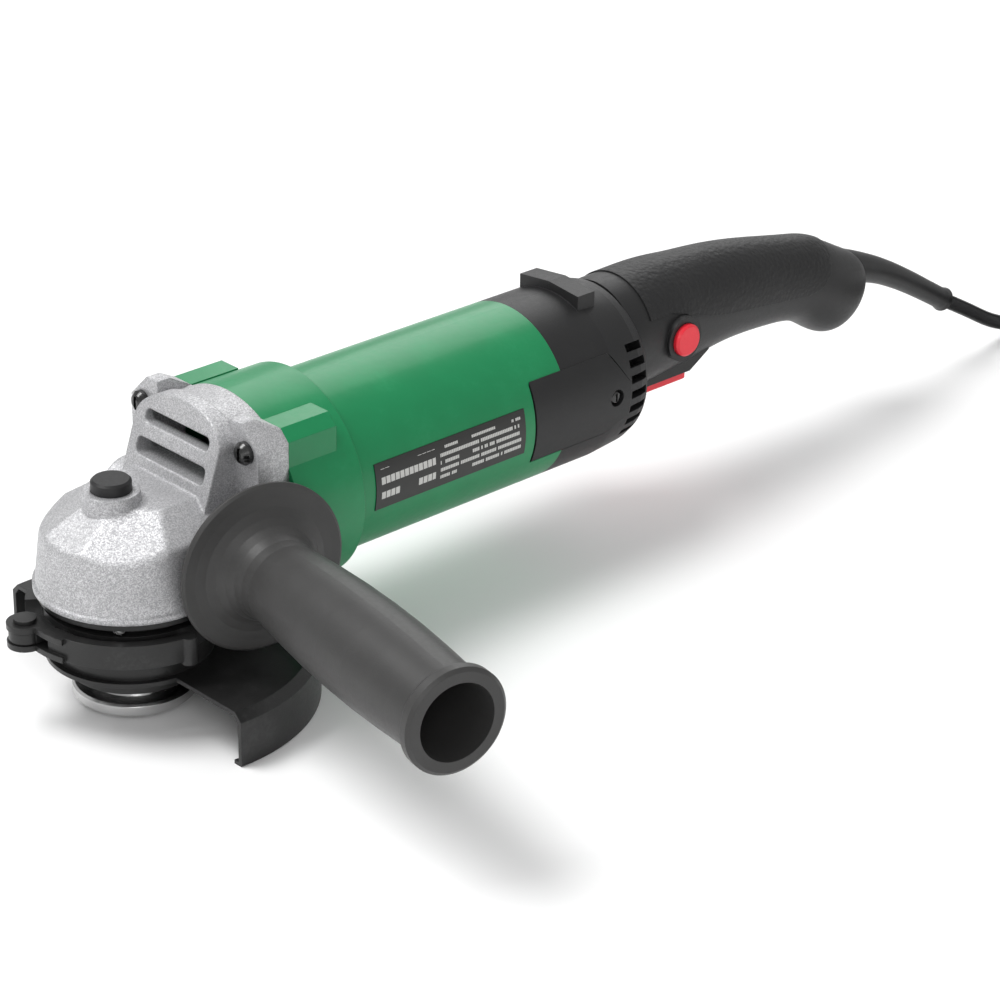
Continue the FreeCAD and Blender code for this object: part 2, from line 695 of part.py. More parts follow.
def pan_screw(head_r, head, shank_r, at, direction, reach):
    """A pan-head screw with a cross recess. at is the seat of its head, direction the way its head faces."""
    at, direction = vec(at), vec(direction)
    direction.normalize()
    side = direction.cross(Z) if abs(direction.z) < 0.9 else X
    other = direction.cross(side)
    crown = lathe([(0, 0), (0, head_r), (head * 0.45, head_r), (head * 0.85, head_r * 0.72),
                   (head, head_r * 0.4), (head, 0)], at, direction, side)
    shank = Part.makeCylinder(shank_r, reach, at, direction * -1)
    screw = crown.fuse(shank)
    for across, along in ((side, other), (other, side)):
        slot = Part.makeBox(head_r * 0.32, head_r * 1.2, head * 0.6)
        slot.Placement = FreeCAD.Placement(
            at + direction * (head * 0.5) - across * (head_r * 0.16) - along * (head_r * 0.6),
            FreeCAD.Rotation(across, along, direction, "ZXY"))
        screw = screw.cut(slot)
    return screw


def flange_screws():
    reach = FLANGE_SCREW_REACH - 1
    return group([pan_screw(4.0, 3.4, FLANGE_SCREW_R, (FLANGE_FRONT_X, y, z), (-1, 0, 0), reach)
                  for y, z in screw_places()])


def cover_screw_axes():
    angles = (45, 135, 225, 315)
    return [(COVER_SCREW_PCD_R * math.cos(math.radians(a)), COVER_SCREW_PCD_R * math.sin(math.radians(a)))
            for a in angles]


def bearing_cover():
    """The black plate under the head that holds the spindle bearing, and the neck that the guard clamps to."""
    solid = fuse([rod_z(COVER_R, COVER_LOW, HEAD_LOW), rod_z(NECK_R, NECK_LOW, COVER_LOW)])
    seat = rod_z(SPINDLE_BEARING_R, SPINDLE_BEARING_LOW - 4.0, HEAD_LOW + 1)
    cuts = [seat, rod_z(COLLAR_R + 1.0, NECK_LOW - 1, SPINDLE_BEARING_LOW)]
    cuts += [rod_z(COVER_SCREW_R, COVER_LOW - 1, HEAD_LOW + 1, *axis) for axis in cover_screw_axes()]
    return solid.cut(fuse(cuts))


def cover_screws():
    return group([pan_screw(2.6, 2.2, COVER_SCREW_R, (x, y, COVER_LOW), (0, 0, -1), COVER_SCREW_REACH)
                  for x, y in cover_screw_axes()])


def lock_button():
    cap = lathe([(LOCK_CAP_LOW, 0), (LOCK_CAP_LOW, LOCK_CAP_R), (LOCK_CAP_TOP - 0.8, LOCK_CAP_R),
                 (LOCK_CAP_TOP, LOCK_CAP_R - 0.8), (LOCK_CAP_TOP, 0)], Vector(LOCK_X, 0, 0), Z, X)
    return cap.fuse(rod_z(LOCK_PIN_R, LOCK_PIN_LOW, LOCK_CAP_LOW + 1, LOCK_PIN_X))


def coil_spring(radius, wire, low, high, turns, at):
    """A stack of rings that stands in for a helical spring between two levels."""
    step = (high - low - 2 * wire) / (turns - 1)
    rings = [Part.makeTorus(radius, wire, vec(at) + Z * (low + wire + i * step), Z) for i in range(turns)]
    post = tube_z(radius + wire * 0.5, radius - wire * 0.5, low + wire, high - wire)
    post = post.common(block(0, 40, -wire * 0.6, wire * 0.6, 0, 200)).translated(vec(at))
    return fuse(rings + [post])


def lock_spring():
    return coil_spring(LOCK_SPRING_R, 0.45, LOCK_FLOOR, LOCK_CAP_LOW, 4, (LOCK_X, 0, 0))


# ---------------------------------------------------------------- guard

def sector(radius, start, stop, z0, z1):
    """A pie slice about the spindle, in degrees from +X."""
    steps = max(2, int((stop - start) / 60) + 1)
    reach = radius / math.cos(math.radians((stop - start) / steps / 2))
    points = [(0, 0, z0)]
    for i in range(steps + 1):
        angle = math.radians(start + (stop - start) * i / steps)
        points.append((reach * math.cos(angle), reach * math.sin(angle), z0))
    return prism(points, Vector(0, 0, z1 - z0))


def guard_shroud():
    plate_top = GUARD_PLATE_Z
    plate_low = plate_top - GUARD_SHEET
    inner = NECK_R + RUNNING
    pan = lathe_z([
        (plate_low, inner), (plate_low, GUARD_R - 3 - 0.6), (plate_low - 2.4, GUARD_R - GUARD_SHEET),
        (FLOOR_Z + 1.4, GUARD_R - GUARD_SHEET), (FLOOR_Z + 1.4, GUARD_R - GUARD_LIP - GUARD_SHEET),
        (FLOOR_Z, GUARD_R - GUARD_LIP - GUARD_SHEET), (FLOOR_Z, GUARD_R - 0.5), (FLOOR_Z + 0.5, GUARD_R),
        (plate_top - 3, GUARD_R), (plate_top, GUARD_R - 3), (plate_top, inner)])
    rear = block(GUARD_EDGE_X, 80, -80, 80, FLOOR_Z - 1, plate_top + 1)
    ring_plate = tube_z(inner + GUARD_COLLAR_SHEET + 2.2, inner, plate_low, plate_top)
    collar = tube_z(inner + GUARD_COLLAR_SHEET, inner, plate_low, GUARD_COLLAR_TOP)
    return fuse([pan.common(rear), ring_plate, collar])


def clamp_band():
    """A split steel band round the guard's collar, with an ear that the lever pivots on."""
    band = tube_z(BAND_OUT, BAND_IN, BAND_LOW, BAND_TOP)
    split = block(-50, 0, -1.2, 1.2, BAND_LOW - 1, BAND_TOP + 1)
    split = split.rotated(Vector(0, 0, 0), Z, EAR_ANGLE - 180 - 14)
    low, top = BAND_LOW + 2.4, BAND_TOP - 2.4
    arm = sector(60, EAR_ANGLE - 9, EAR_ANGLE + 9, low, top).common(rod_z(abs(EAR_X), low, top))
    arm = arm.cut(rod_z(BAND_IN + 0.5, low - 1, top + 1))
    ear = rod_z(EAR_R, low, top, EAR_X, EAR_Y)
    bore = rod_z(LEVER_PIN_R + RUNNING, low - 5, top + 5, EAR_X, EAR_Y)
    latch = sector(60, EAR_ANGLE - 36, EAR_ANGLE - 23, BAND_LOW, BAND_TOP)
    latch = latch.common(rod_z(BAND_OUT + 5.5, BAND_LOW, BAND_TOP)).cut(rod_z(BAND_IN + 0.5, 0, 60))
    return fuse([band.cut(split), arm, ear, latch]).cut(bore)


def guard_lever():
    """The quick-release lever: a fork round the band's ear and a curved bar that wraps the nose."""
    low, top = BAND_LOW, BAND_TOP
    plate = 2.0
    fork = [rod_z(EAR_R + 0.6, base, base + plate, EAR_X, EAR_Y) for base in (low, top - plate)]
    outer, inner = LEVER_R, LEVER_R - LEVER_THICK
    bar = tube_z(outer, inner, low, top).common(
        sector(80, LEVER_START_ANGLE, LEVER_END_ANGLE, low, top))
    heel = tube_z(outer, inner - 0.4, low, top)
    heel = heel.common(sector(80, EAR_ANGLE + 17, LEVER_START_ANGLE + 1, low, top))
    web = []
    for base in (low, top - plate):
        web.append(tube_z(outer + 1.5, inner, base, base + plate).common(
            sector(80, EAR_ANGLE - 2, LEVER_START_ANGLE, base, base + plate)))
    tip_angle = math.radians(LEVER_END_ANGLE)
    tip = rod_z(LEVER_THICK * 0.75, low - 1.2, top, (outer - 1.0) * math.cos(tip_angle),
                (outer - 1.0) * math.sin(tip_angle))
    lever = fuse([bar, heel] + fork + web + [tip])
    clear = rod_z(EAR_R + GAP, low + plate, top - plate, EAR_X, EAR_Y)
    bore = rod_z(LEVER_PIN_R, low - 1, top + 1, EAR_X, EAR_Y)
    return lever.cut(clear).cut(bore)


def lever_pin():
    return fuse([rod_z(LEVER_PIN_R, BAND_LOW - 0.8, BAND_TOP + 0.2, EAR_X, EAR_Y),
                 rod_z(LEVER_PIN_R + 1.6, BAND_TOP, BAND_TOP + 1.4, EAR_X, EAR_Y)])


# ---------------------------------------------------------------- motor housing

def cover_prism(grow, y0, y1):
    centre_x = sum(x for x, z in COVER_OUTLINE) / len(COVER_OUTLINE)
    centre_z = sum(z for x, z in COVER_OUTLINE) / len(COVER_OUTLINE)
    wire = Part.makePolygon([Vector(x, y0, z) for x, z in COVER_OUTLINE + COVER_OUTLINE[:1]])
    if grow:
        wire = wire.makeOffset2D(grow)
    shape = Part.Face(wire).extrude(Vector(0, y1 - y0, 0))
    return shape


def cover_beds(grow):
    bed = cover_prism(grow, -60, -COVER_BED_Y)
    return bed.fuse(mirrored(bed))


def motor_housing():
    corner = flange_outline(FLANGE_BACK_X, CORNER_END_X)
    corner = corner.cut(between_lugs(FLANGE_BACK_X - 1, CORNER_END_X + 1))
    arch = rod_x(ARCH_R, FLANGE_BACK_X, ARCH_END_X)
    solid = fuse([rod_x(HOUSING_R, FLANGE_BACK_X, HOUSING_END_X), arch, corner])
    inner = HOUSING_R - HOUSING_WALL
    cuts = [rod_x(inner, FLANGE_BACK_X - 1, HOUSING_END_X + 1), cover_beds(COVER_GROOVE)]
    for y, z in screw_places():
        cuts.append(rod(FLANGE_SCREW_R, (FLANGE_BACK_X - 1, y, z), (FLANGE_FRONT_X + FLANGE_SCREW_REACH, y, z)))
    return solid.cut(fuse(cuts))


def rating_plate():
    skin = tube_x(HOUSING_R + 0.35, HOUSING_R, 79.0, 148.5)
    return skin.common(block(70, 160, -60, 0, MOTOR_Z - 7.4, MOTOR_Z + 9.6))


def fan():
    hub = rod_x(FAN_HUB_R, FAN_X, FAN_X + FAN_WIDTH)
    disc = rod_x(FAN_R, FAN_X + FAN_WIDTH - 1.6, FAN_X + FAN_WIDTH)
    blade = block(FAN_X, FAN_X + FAN_WIDTH - 1, -0.7, 0.7, MOTOR_Z + FAN_HUB_R - 1, MOTOR_Z + FAN_R - 0.4)
    return fuse([hub, disc] + around_x(blade, FAN_BLADES)).cut(rod_x(SHAFT_R, FAN_X - 1, FAN_X + FAN_WIDTH + 1))


def air_baffle():
    inner = HOUSING_R - HOUSING_WALL
    wall = tube_x(inner, BAFFLE_HOLE_R, BAFFLE_X, BAFFLE_X + 2.0)
    return wall.fuse(tube_x(inner, inner - 1.4, BAFFLE_X, BAFFLE_X + 7.0))


def armature_shaft():
    nose, rear = PINION_NOSE_X, REAR_BEARING_X
    end = rear + REAR_BEARING_WIDTH + 2
    return lathe_x([(nose, 0), (nose, PINION_BORE_R), (FRONT_BEARING_X, PINION_BORE_R),
                    (FRONT_BEARING_X, SHAFT_R), (rear, SHAFT_R), (rear, REAR_SEAT_R), (end, REAR_SEAT_R),
                    (end, 0)])


def armature_core():
    core = rod_x(CORE_R, CORE_X, CORE_X + CORE_LENGTH)
    slot = block(CORE_X - 1, CORE_X + CORE_LENGTH + 1, -1.1, 1.1, MOTOR_Z + 10.5, MOTOR_Z + CORE_R + 1)
    return core.cut(fuse(around_x(slot, 16) + [rod_x(SHAFT_R, CORE_X - 1, CORE_X + CORE_LENGTH + 1)]))


def armature_windings():
    ends = []
    for x0 in (CORE_X - COIL_OVERHANG, CORE_X + CORE_LENGTH):
        ends.append(rounded(tube_x(CORE_R - 1.0, 8.0, x0, x0 + COIL_OVERHANG), 3.0,
                            lambda e: abs(e.Length - 2 * math.pi * (CORE_R - 1.0)) < 0.1))
    bars = block(CORE_X, CORE_X + CORE_LENGTH, -1.0, 1.0, MOTOR_Z + 10.6, MOTOR_Z + CORE_R - 1.2)
    return fuse(ends + around_x(bars, 16))


def commutator():
    barrel = rod_x(COMMUTATOR_R, COMMUTATOR_X, COMMUTATOR_X + COMMUTATOR_LENGTH)
    riser = rod_x(COMMUTATOR_R + 1.6, COMMUTATOR_X - 3, COMMUTATOR_X)
    groove = block(COMMUTATOR_X, COMMUTATOR_X + COMMUTATOR_LENGTH + 1, -0.25, 0.25,
                   MOTOR_Z + COMMUTATOR_R - 0.8, MOTOR_Z + COMMUTATOR_R + 1)
    bore = rod_x(SHAFT_R, COMMUTATOR_X - 4, COMMUTATOR_X + COMMUTATOR_LENGTH + 1)
    return barrel.fuse(riser).cut(fuse(around_x(groove, 24) + [bore]))


def stator_core():
    ring = tube_x(STATOR_R, CORE_R + AIR_GAP, CORE_X, CORE_X + CORE_LENGTH)
    window = [block(CORE_X - 1, CORE_X + CORE_LENGTH + 1, y - 5.0, y + 5.0, MOTOR_Z - 13, MOTOR_Z + 13)
              for y in (-WINDOW_Y, WINDOW_Y)]
    return ring.cut(fuse(window))


def field_coils():
    coils = []
    for side in (-1, 1):
        y = side * WINDOW_Y
        slot = block(CORE_X, CORE_X + CORE_LENGTH, y - 2.6, y + 4.4, MOTOR_Z - 12, MOTOR_Z + 12)
        coils.append(slot.common(tube_x(26.4, CORE_R + AIR_GAP, CORE_X, CORE_X + CORE_LENGTH)))
    overhang = []
    for x0 in (CORE_X - COIL_OVERHANG, CORE_X + CORE_LENGTH):
        overhang.append(tube_x(27.0, CORE_R + AIR_GAP + 1.4, x0, x0 + COIL_OVERHANG))
    return fuse(coils + overhang)


# ---------------------------------------------------------------- brush gear

def both_sides(make):
    return group([make(), mirrored(make())])


def brush_holders():
    def holder():
        inner_end = -COMMUTATOR_R - 1.2
        outer = block(BRUSH_X - 5, BRUSH_X + 5, -BRUSH_HOLDER_END, inner_end, MOTOR_Z - 6.5, MOTOR_Z + 6.5)
        hole = block(BRUSH_X - BRUSH_WIDTH / 2, BRUSH_X + BRUSH_WIDTH / 2, -BRUSH_HOLDER_END + 1.2, 0,
                     MOTOR_Z - BRUSH_HEIGHT / 2, MOTOR_Z + BRUSH_HEIGHT / 2)
        return outer.cut(hole)
    return both_sides(holder)


def carbon_brushes():
    def brush():
        bar = block(BRUSH_X - BRUSH_WIDTH / 2, BRUSH_X + BRUSH_WIDTH / 2, -COMMUTATOR_R - BRUSH_LENGTH,
                    -COMMUTATOR_R + 2, MOTOR_Z - BRUSH_HEIGHT / 2, MOTOR_Z + BRUSH_HEIGHT / 2)
        return bar.cut(rod_x(COMMUTATOR_R + RUNNING, BRUSH_X - 9, BRUSH_X + 9))
    return both_sides(brush)


def brush_springs():
    def spring():
        start = -BRUSH_HOLDER_END + 1.2
        stop = -COMMUTATOR_R - BRUSH_LENGTH
        return tube_z(2.2, 1.5, start, stop).rotated(Vector(0, 0, 0), X, -90).translated(
            Vector(BRUSH_X, 0, MOTOR_Z))
    return both_sides(spring)


def brush_cover():
    skin = cover_prism(0, -60, -COVER_BED_Y).common(rod_x(COVER_FACE_R, 140, 220))
    z = MOTOR_Z + 0.4
    face_y = -math.sqrt(COVER_FACE_R ** 2 - 0.4 ** 2)
    sink = rod(COVER_SCREW_HEAD_R + 0.5, (COVER_SCREW_X, face_y + 2.0, z), (COVER_SCREW_X, face_y - 5, z))
    hole = rod(1.5, (COVER_SCREW_X, 0, z), (COVER_SCREW_X, -60, z))
    return skin.cut(sink).cut(hole)


def cover_screw():
    z = MOTOR_Z + 0.4
    face_y = -math.sqrt(COVER_FACE_R ** 2 - 0.4 ** 2) + 2.0
    return pan_screw(COVER_SCREW_HEAD_R, 1.6, 1.5, (COVER_SCREW_X, face_y, z), (0, -1, 0), 9.0)


def brush_cover_screws():
    return both_sides(cover_screw)


# ---------------------------------------------------------------- rear housing

def rear_shell():
    solid = lathe_x([(HOUSING_END_X, 0), (HOUSING_END_X, HOUSING_R), (REAR_TAPER_X - 14, HOUSING_R),
                     (REAR_TAPER_X, REAR_TAPER_R), (REAR_TAPER_X + 4, REAR_TAPER_R - 1.2),
                     (REAR_END_X, REAR_END_R), (REAR_END_X, 0)])
    outline = ((-RIDGE_HALF_Y, 28.0), (RIDGE_HALF_Y, 28.0), (RIDGE_HALF_Y, RIDGE_SHOULDER_R),
               (0, RIDGE_TOP_R), (-RIDGE_HALF_Y, RIDGE_SHOULDER_R))
    front = RIDGE_X - RIDGE_HALF_X
    ridge = prism([(front, y, MOTOR_Z + z) for y, z in outline], X * (2 * RIDGE_HALF_X))
    solid = solid.fuse(ridge)
    inner = HOUSING_R - REAR_WALL
    bore = lathe_x([(HOUSING_END_X - 1, 0), (HOUSING_END_X - 1, inner), (REAR_TAPER_X - 14, inner),
                    (REAR_TAPER_X, REAR_TAPER_R - REAR_WALL), (REAR_END_X - 3, REAR_END_R - REAR_WALL),
                    (REAR_END_X - 3, 0)])
    shell = solid.cut(bore)
    web = rod_x(inner + 0.5, REAR_BEARING_X, REAR_BEARING_X + 3.0)
    boss = rod_x(REAR_BEARING_R + 3.0, REAR_BEARING_X, REAR_BEARING_X + REAR_BEARING_WIDTH + 1.5)
    web = web.fuse(boss).cut(rod_x(REAR_BEARING_R, REAR_BEARING_X - 1, REAR_BEARING_X + REAR_BEARING_WIDTH))
    web = web.cut(rod_x(REAR_SEAT_R + 2, REAR_BEARING_X, REAR_BEARING_X + REAR_BEARING_WIDTH + 4))
    windows = around_x(rod_x(4.5, REAR_BEARING_X - 1, REAR_BEARING_X + 4, 0, MOTOR_Z + 21), 8, 22.5)
    web = web.cut(fuse(windows))
    shell = fuse([shell, web])
    shell = shell.cut(rod_x(12.0, REAR_END_X - 4, REAR_END_X + 1))
    pads = []
    for side in (-1, 1):
        y0, y1 = sorted((side * BRUSH_HOLDER_END, side * (inner + 1.0)))
        pads.append(block(BRUSH_X - 6, BRUSH_X + 6, y0, y1, MOTOR_Z - 7.5, MOTOR_Z + 7.5))
        y0, y1 = sorted((side * (COVER_BED_Y - 5.0), side * (inner + 0.5)))
        pads.append(block(COVER_SCREW_X - 4, COVER_SCREW_X + 4, y0, y1, MOTOR_Z - 4, MOTOR_Z + 4.8))
    shell = fuse([shell] + pads)
    return shell.cut(fuse([cover_beds(COVER_GROOVE)] + vent_cutters() + screw_pilots()))


def screw_pilots():
    z = MOTOR_Z + 0.4
    return [rod(1.5, (COVER_SCREW_X, side * 20, z), (COVER_SCREW_X, side * 40, z)) for side in (-1, 1)]


def vent_cutters():
    cutters = []
    for side in (-1, 1):
        for i in range(VENT_COUNT):
            angle = VENT_START_DEG + VENT_PITCH_DEG * i
            low, high = MOTOR_Z - VENT_HEIGHT / 2, MOTOR_Z + VENT_HEIGHT / 2
            slot = block(VENT_X, VENT_X + VENT_LENGTH, 24, 40, low, high)
            slot = slot.rotated(Vector(0, 0, MOTOR_Z), X, angle)
            cutters.append(slot if side > 0 else mirrored(slot))
    return cutters


def left_half(shape):
    return shape.common(block(-100, 600, -100, 0, -60, 200))


def right_half(shape):
    return shape.common(block(-100, 600, 0, 100, -60, 200))


# ---------------------------------------------------------------- rear grip

def ellipse_wire(x, z, half_height, half_width):
    major, minor = max(half_height, half_width), min(half_height, half_width)
    top = Vector(x, 0, z + half_height)
    side = Vector(x, half_width, z)
    if half_height >= half_width:
        curve = Part.Ellipse(top, side, Vector(x, 0, z))
    else:
        curve = Part.Ellipse(side, top, Vector(x, 0, z))
    return Part.Wire([curve.toShape()])


def grip_loft(inset, start, stop):
    wires = []
    for x, z, half_height, half_width in GRIP_SECTIONS[start:stop]:
        wires.append(ellipse_wire(x, z, half_height - inset, half_width - inset))
    return Part.makeLoft(wires, True, False)


def lockon_collar(grow):
    """The raised ring around the lock-on button."""
    face = LOCKON_FACE_Y + 2.0 - grow
    return rod(LOCKON_COLLAR_R + grow, (LOCKON_X, face, LOCKON_Z), (LOCKON_X, -15, LOCKON_Z))


def grip_shell():
    outer = grip_loft(0, 0, len(GRIP_SECTIONS))
    x0, x1 = TRIGGER_HOUSING_X
    half = TRIGGER_HOUSING_HALF_Y
    low = TRIGGER_HOUSING_LOW
    keel = prism([(x0, -half, low), (x1 - 6, -half, low), (x1 + 4, -half, low + 6), (x1 + 4, -half, low + 14),
                  (x0, -half, low + 14)], Vector(0, 2 * half, 0))
    outer = outer.fuse([keel, lockon_collar(0.0)])
    cavity = grip_loft(GRIP_WALL, 0, len(GRIP_SECTIONS) - 2)
    cavity = cavity.cut(block(GRIP_SOLID_X, 400, -30, 30, 0, 120))
    well_half = TRIGGER_HALF_Y + GAP
    well = block(TRIGGER_X[0] - GAP, TRIGGER_X[1] + GAP, -well_half, well_half, low - 20, 70)
    button = rod(LOCKON_R + 0.15, (LOCKON_X, LOCKON_FACE_Y - 5, LOCKON_Z), (LOCKON_X, -10, LOCKON_Z))
    posts = fuse([rod(GRIP_POST_R, (x, -30, z), (x, 30, z)) for x, z in GRIP_SCREWS])
    posts = posts.common(grip_loft(1.0, 0, len(GRIP_SECTIONS)))
    shell = outer.cut(cavity).fuse(posts)
    cuts = [well, button, cord_gland()]
    for x, z in GRIP_SCREWS:
        cuts.append(rod(GRIP_SCREW_R, (x, GRIP_SCREW_SEAT - 17.0, z), (x, 30, z)))
        cuts.append(rod(GRIP_SCREW_HEAD_R + 0.3, (x, GRIP_SCREW_SEAT, z), (x, 30, z)))
    return shell.cut(fuse(cuts))


def grip_pad(side):
    """The soft skin over the upper part of one half of the grip."""
    count = len(GRIP_SECTIONS)
    skin = grip_loft(-PAD_THICK, 0, count).cut(grip_loft(0, 0, count))
    window = prism([(x, 0, z) for x, z in PAD_OUTLINE], Vector(0, 60 * side, 0))
    return skin.common(window).cut(lockon_collar(0.3))


def trigger():
    x0, x1 = TRIGGER_X
    body = block(x0, x1, -TRIGGER_HALF_Y, TRIGGER_HALF_Y, TRIGGER_LOW, TRIGGER_TOP)
    body = rounded(body, 1.2, lambda e: mid(e).z < TRIGGER_LOW + 1)
    return body.fuse(rod_z(STEM_R, TRIGGER_TOP - 1, SWITCH_LOW - GAP, STEM_X))


def switch_body():
    body = block(*SWITCH_X, -SWITCH_HALF_Y, SWITCH_HALF_Y, SWITCH_LOW, SWITCH_HIGH)
    well = rod_z(STEM_R + GAP, SWITCH_LOW - 1, SWITCH_LOW + TRIGGER_TRAVEL + 2.0, STEM_X)
    return body.cut(well)


def trigger_spring():
    return tube_z(TRIGGER_SPRING_R, TRIGGER_SPRING_R - 1.0, TRIGGER_TOP, SWITCH_LOW, STEM_X)


def lockon_button():
    face = LOCKON_FACE_Y
    cap = lathe([(0, 0), (0, LOCKON_R - 0.8), (0.8, LOCKON_R), (LOCKON_CAP_DEPTH, LOCKON_R),
                 (LOCKON_CAP_DEPTH, 0)],
                Vector(LOCKON_X, face, LOCKON_Z), Y, X)
    stem = rod(2.0, (LOCKON_X, face + 6, LOCKON_Z), (LOCKON_X, -SWITCH_HALF_Y - LOCKON_TRAVEL - GAP, LOCKON_Z))
    return cap.fuse(stem)


def lockon_spring():
    start = LOCKON_FACE_Y + LOCKON_CAP_DEPTH
    spring = tube_z(3.6, 2.6, start, -SWITCH_HALF_Y)
    return spring.rotated(Vector(0, 0, 0), X, -90).translated(Vector(LOCKON_X, 0, LOCKON_Z))


def capacitor():
    return rounded(block(*CAPACITOR_BOX), 1.5, lambda e: True)


def cord_clamp():
    x, low, high = CLAMP_X, CLAMP_TOP - CLAMP_THICK, CLAMP_TOP
    bar = block(x - 4.0, x + 4.0, -CLAMP_SCREW_Y - 2.3, CLAMP_SCREW_Y + 2.3, low, high)
    holes = [rod_z(GRIP_SCREW_R, low - 1, high + 1, x, y) for y in (-CLAMP_SCREW_Y, CLAMP_SCREW_Y)]
    return bar.cut(fuse(holes))


def cord_clamp_screws():
    return group([pan_screw(GRIP_SCREW_HEAD_R, 1.8, GRIP_SCREW_R, (CLAMP_X, y, CLAMP_TOP), (0, 0, 1), 12.0)
                  for y in (-CLAMP_SCREW_Y, CLAMP_SCREW_Y)])


def shell_screws():
    """Screws that hold the two halves of the grip together, in from the +Y side."""
    return group([pan_screw(GRIP_SCREW_HEAD_R, 1.8, GRIP_SCREW_R, (x, GRIP_SCREW_SEAT, z), (0, 1, 0), 16.0)
                  for x, z in GRIP_SCREWS])


# ---------------------------------------------------------------- mains lead

def cord_gland():
    """The moulded strain relief: tapered lengths that bend down to a bead at the mouth."""
    parts = []
    for (x0, z0, r0), (x1, z1, r1) in zip(RELIEF_PATH, RELIEF_PATH[1:]):
        start, end = Vector(x0, 0, z0), Vector(x1, 0, z1)
        parts.append(Part.makeCone(r0, r1, (end - start).Length, start, end - start))
        parts.append(Part.makeSphere(r1, end))
    mouth = (end - start).normalize()
    parts.append(Part.makeCylinder(RELIEF_BEAD_R, RELIEF_BEAD, end - mouth * RELIEF_BEAD, mouth))
    beyond = slab_above(tuple(end), tuple(mouth))
    return fuse(parts).cut(beyond)


def cord_tube():
    """A round tube of straight runs joined by tangent arcs, each as large as its two runs allow."""
    points = [vec(p) for p in CORD_POINTS]
    edges, radii = [], []
    last = points[0]
    for before, corner, after in zip(points, points[1:], points[2:]):
        into, out = corner - before, after - corner
        turn = into.getAngle(out)
        cut = 0.45 * min(into.Length, out.Length)
        radii.append(cut / math.tan(turn / 2))
        start = corner - into.normalize() * cut
        stop = corner + out.normalize() * cut
        bisector = ((start + stop) / 2 - corner).normalize()
        middle = corner + bisector * (math.hypot(cut, radii[-1]) - radii[-1])
        edges += [Part.LineSegment(last, start).toShape(), Part.Arc(start, middle, stop).toShape()]
        last = stop
    edges.append(Part.LineSegment(last, points[-1]).toShape())
    path = Part.Wire(edges)
    profile = Part.Wire([Part.Circle(points[0], points[1] - points[0], CORD_R).toShape()])
    tube = path.makePipeShell([profile], True, False)
    print("cord arc radii", [round(r, 1) for r in radii])
    print("cord tube volume", round(tube.Volume))
    print("cord section x length", round(math.pi * CORD_R ** 2 * path.Length))
    print("cord length to the coil", round(path.Length))
    return tube


def cord_coil():
    x, y = COIL_CENTRE
    outer, inner = COIL_MID_R + COIL_BAND / 2, COIL_MID_R - COIL_BAND / 2
    return tube_z(outer, inner, FLOOR_Z, FLOOR_Z + COIL_HEIGHT, x, y)


def plug_body():
    x, y, z = PLUG_AT
    half_x, half_y = PLUG_LENGTH / 2, PLUG_WIDTH / 2
    body = block(x - half_x, x + half_x, y - half_y, y + half_y, z, z + PLUG_HEIGHT)
    return rounded(body, 3.0, lambda e: True)


def plug_pins():
    x, y, z = PLUG_AT
    root, axis_z = x - PLUG_LENGTH / 2, z + PLUG_HEIGHT / 2
    return group([rod(PIN_R, (root - PIN_LENGTH, y + dy, axis_z), (root, y + dy, axis_z))
                  for dy in (-PIN_HALF_PITCH, PIN_HALF_PITCH)])


# ---------------------------------------------------------------- side handle

def handle_lathe(profile):
    return lathe(profile, handle_point(0), handle_axis(), Z)


def side_handle_grip():
    length, flange, bead = HANDLE_LENGTH, HANDLE_FLANGE_R, HANDLE_BEAD_R
    body = handle_lathe([
        (-HANDLE_SEAT, 0), (-HANDLE_SEAT, 13.0), (-2.6, 13.6), (-0.6, 20.0), (0.6, flange - 1.4), (1.4, flange),
        (2.2, flange), (2.9, flange - 0.9), (3.3, 25.5), (4.0, 22.0), (5.4, 19.0), (7.6, 16.8), (10.6, 15.2),
        (14.0, 14.4), (18.0, 14.2), (24.0, 14.8), (36.0, 15.8), (50.0, 16.6), (65.0, 17.0), (80.0, 17.0),
        (94.0, 16.5), (105.0, 15.9), (length - 7.0, 15.6), (length - 5.2, 16.2), (length - 4.0, bead),
        (length - 1.0, bead), (length, bead - 1.2), (length, 0)])
    hollow = handle_lathe([(STUD_HOLD + 6, 0), (STUD_HOLD + 6, 10.5), (length - 12, HANDLE_HOLE_R - 0.6),
                           (length + 1, HANDLE_HOLE_R), (length + 1, 0)])
    return body.cut(hollow).cut(handle_rod(THREAD_M10_R, -HANDLE_SEAT - 1, STUD_HOLD))


def side_handle_stud():
    return handle_rod(THREAD_M10_R - RUNNING, -HANDLE_SEAT - STUD_REACH, -HANDLE_SEAT).fuse(
        handle_rod(THREAD_M10_R, -HANDLE_SEAT, STUD_HOLD))


# ---------------------------------------------------------------- all pieces

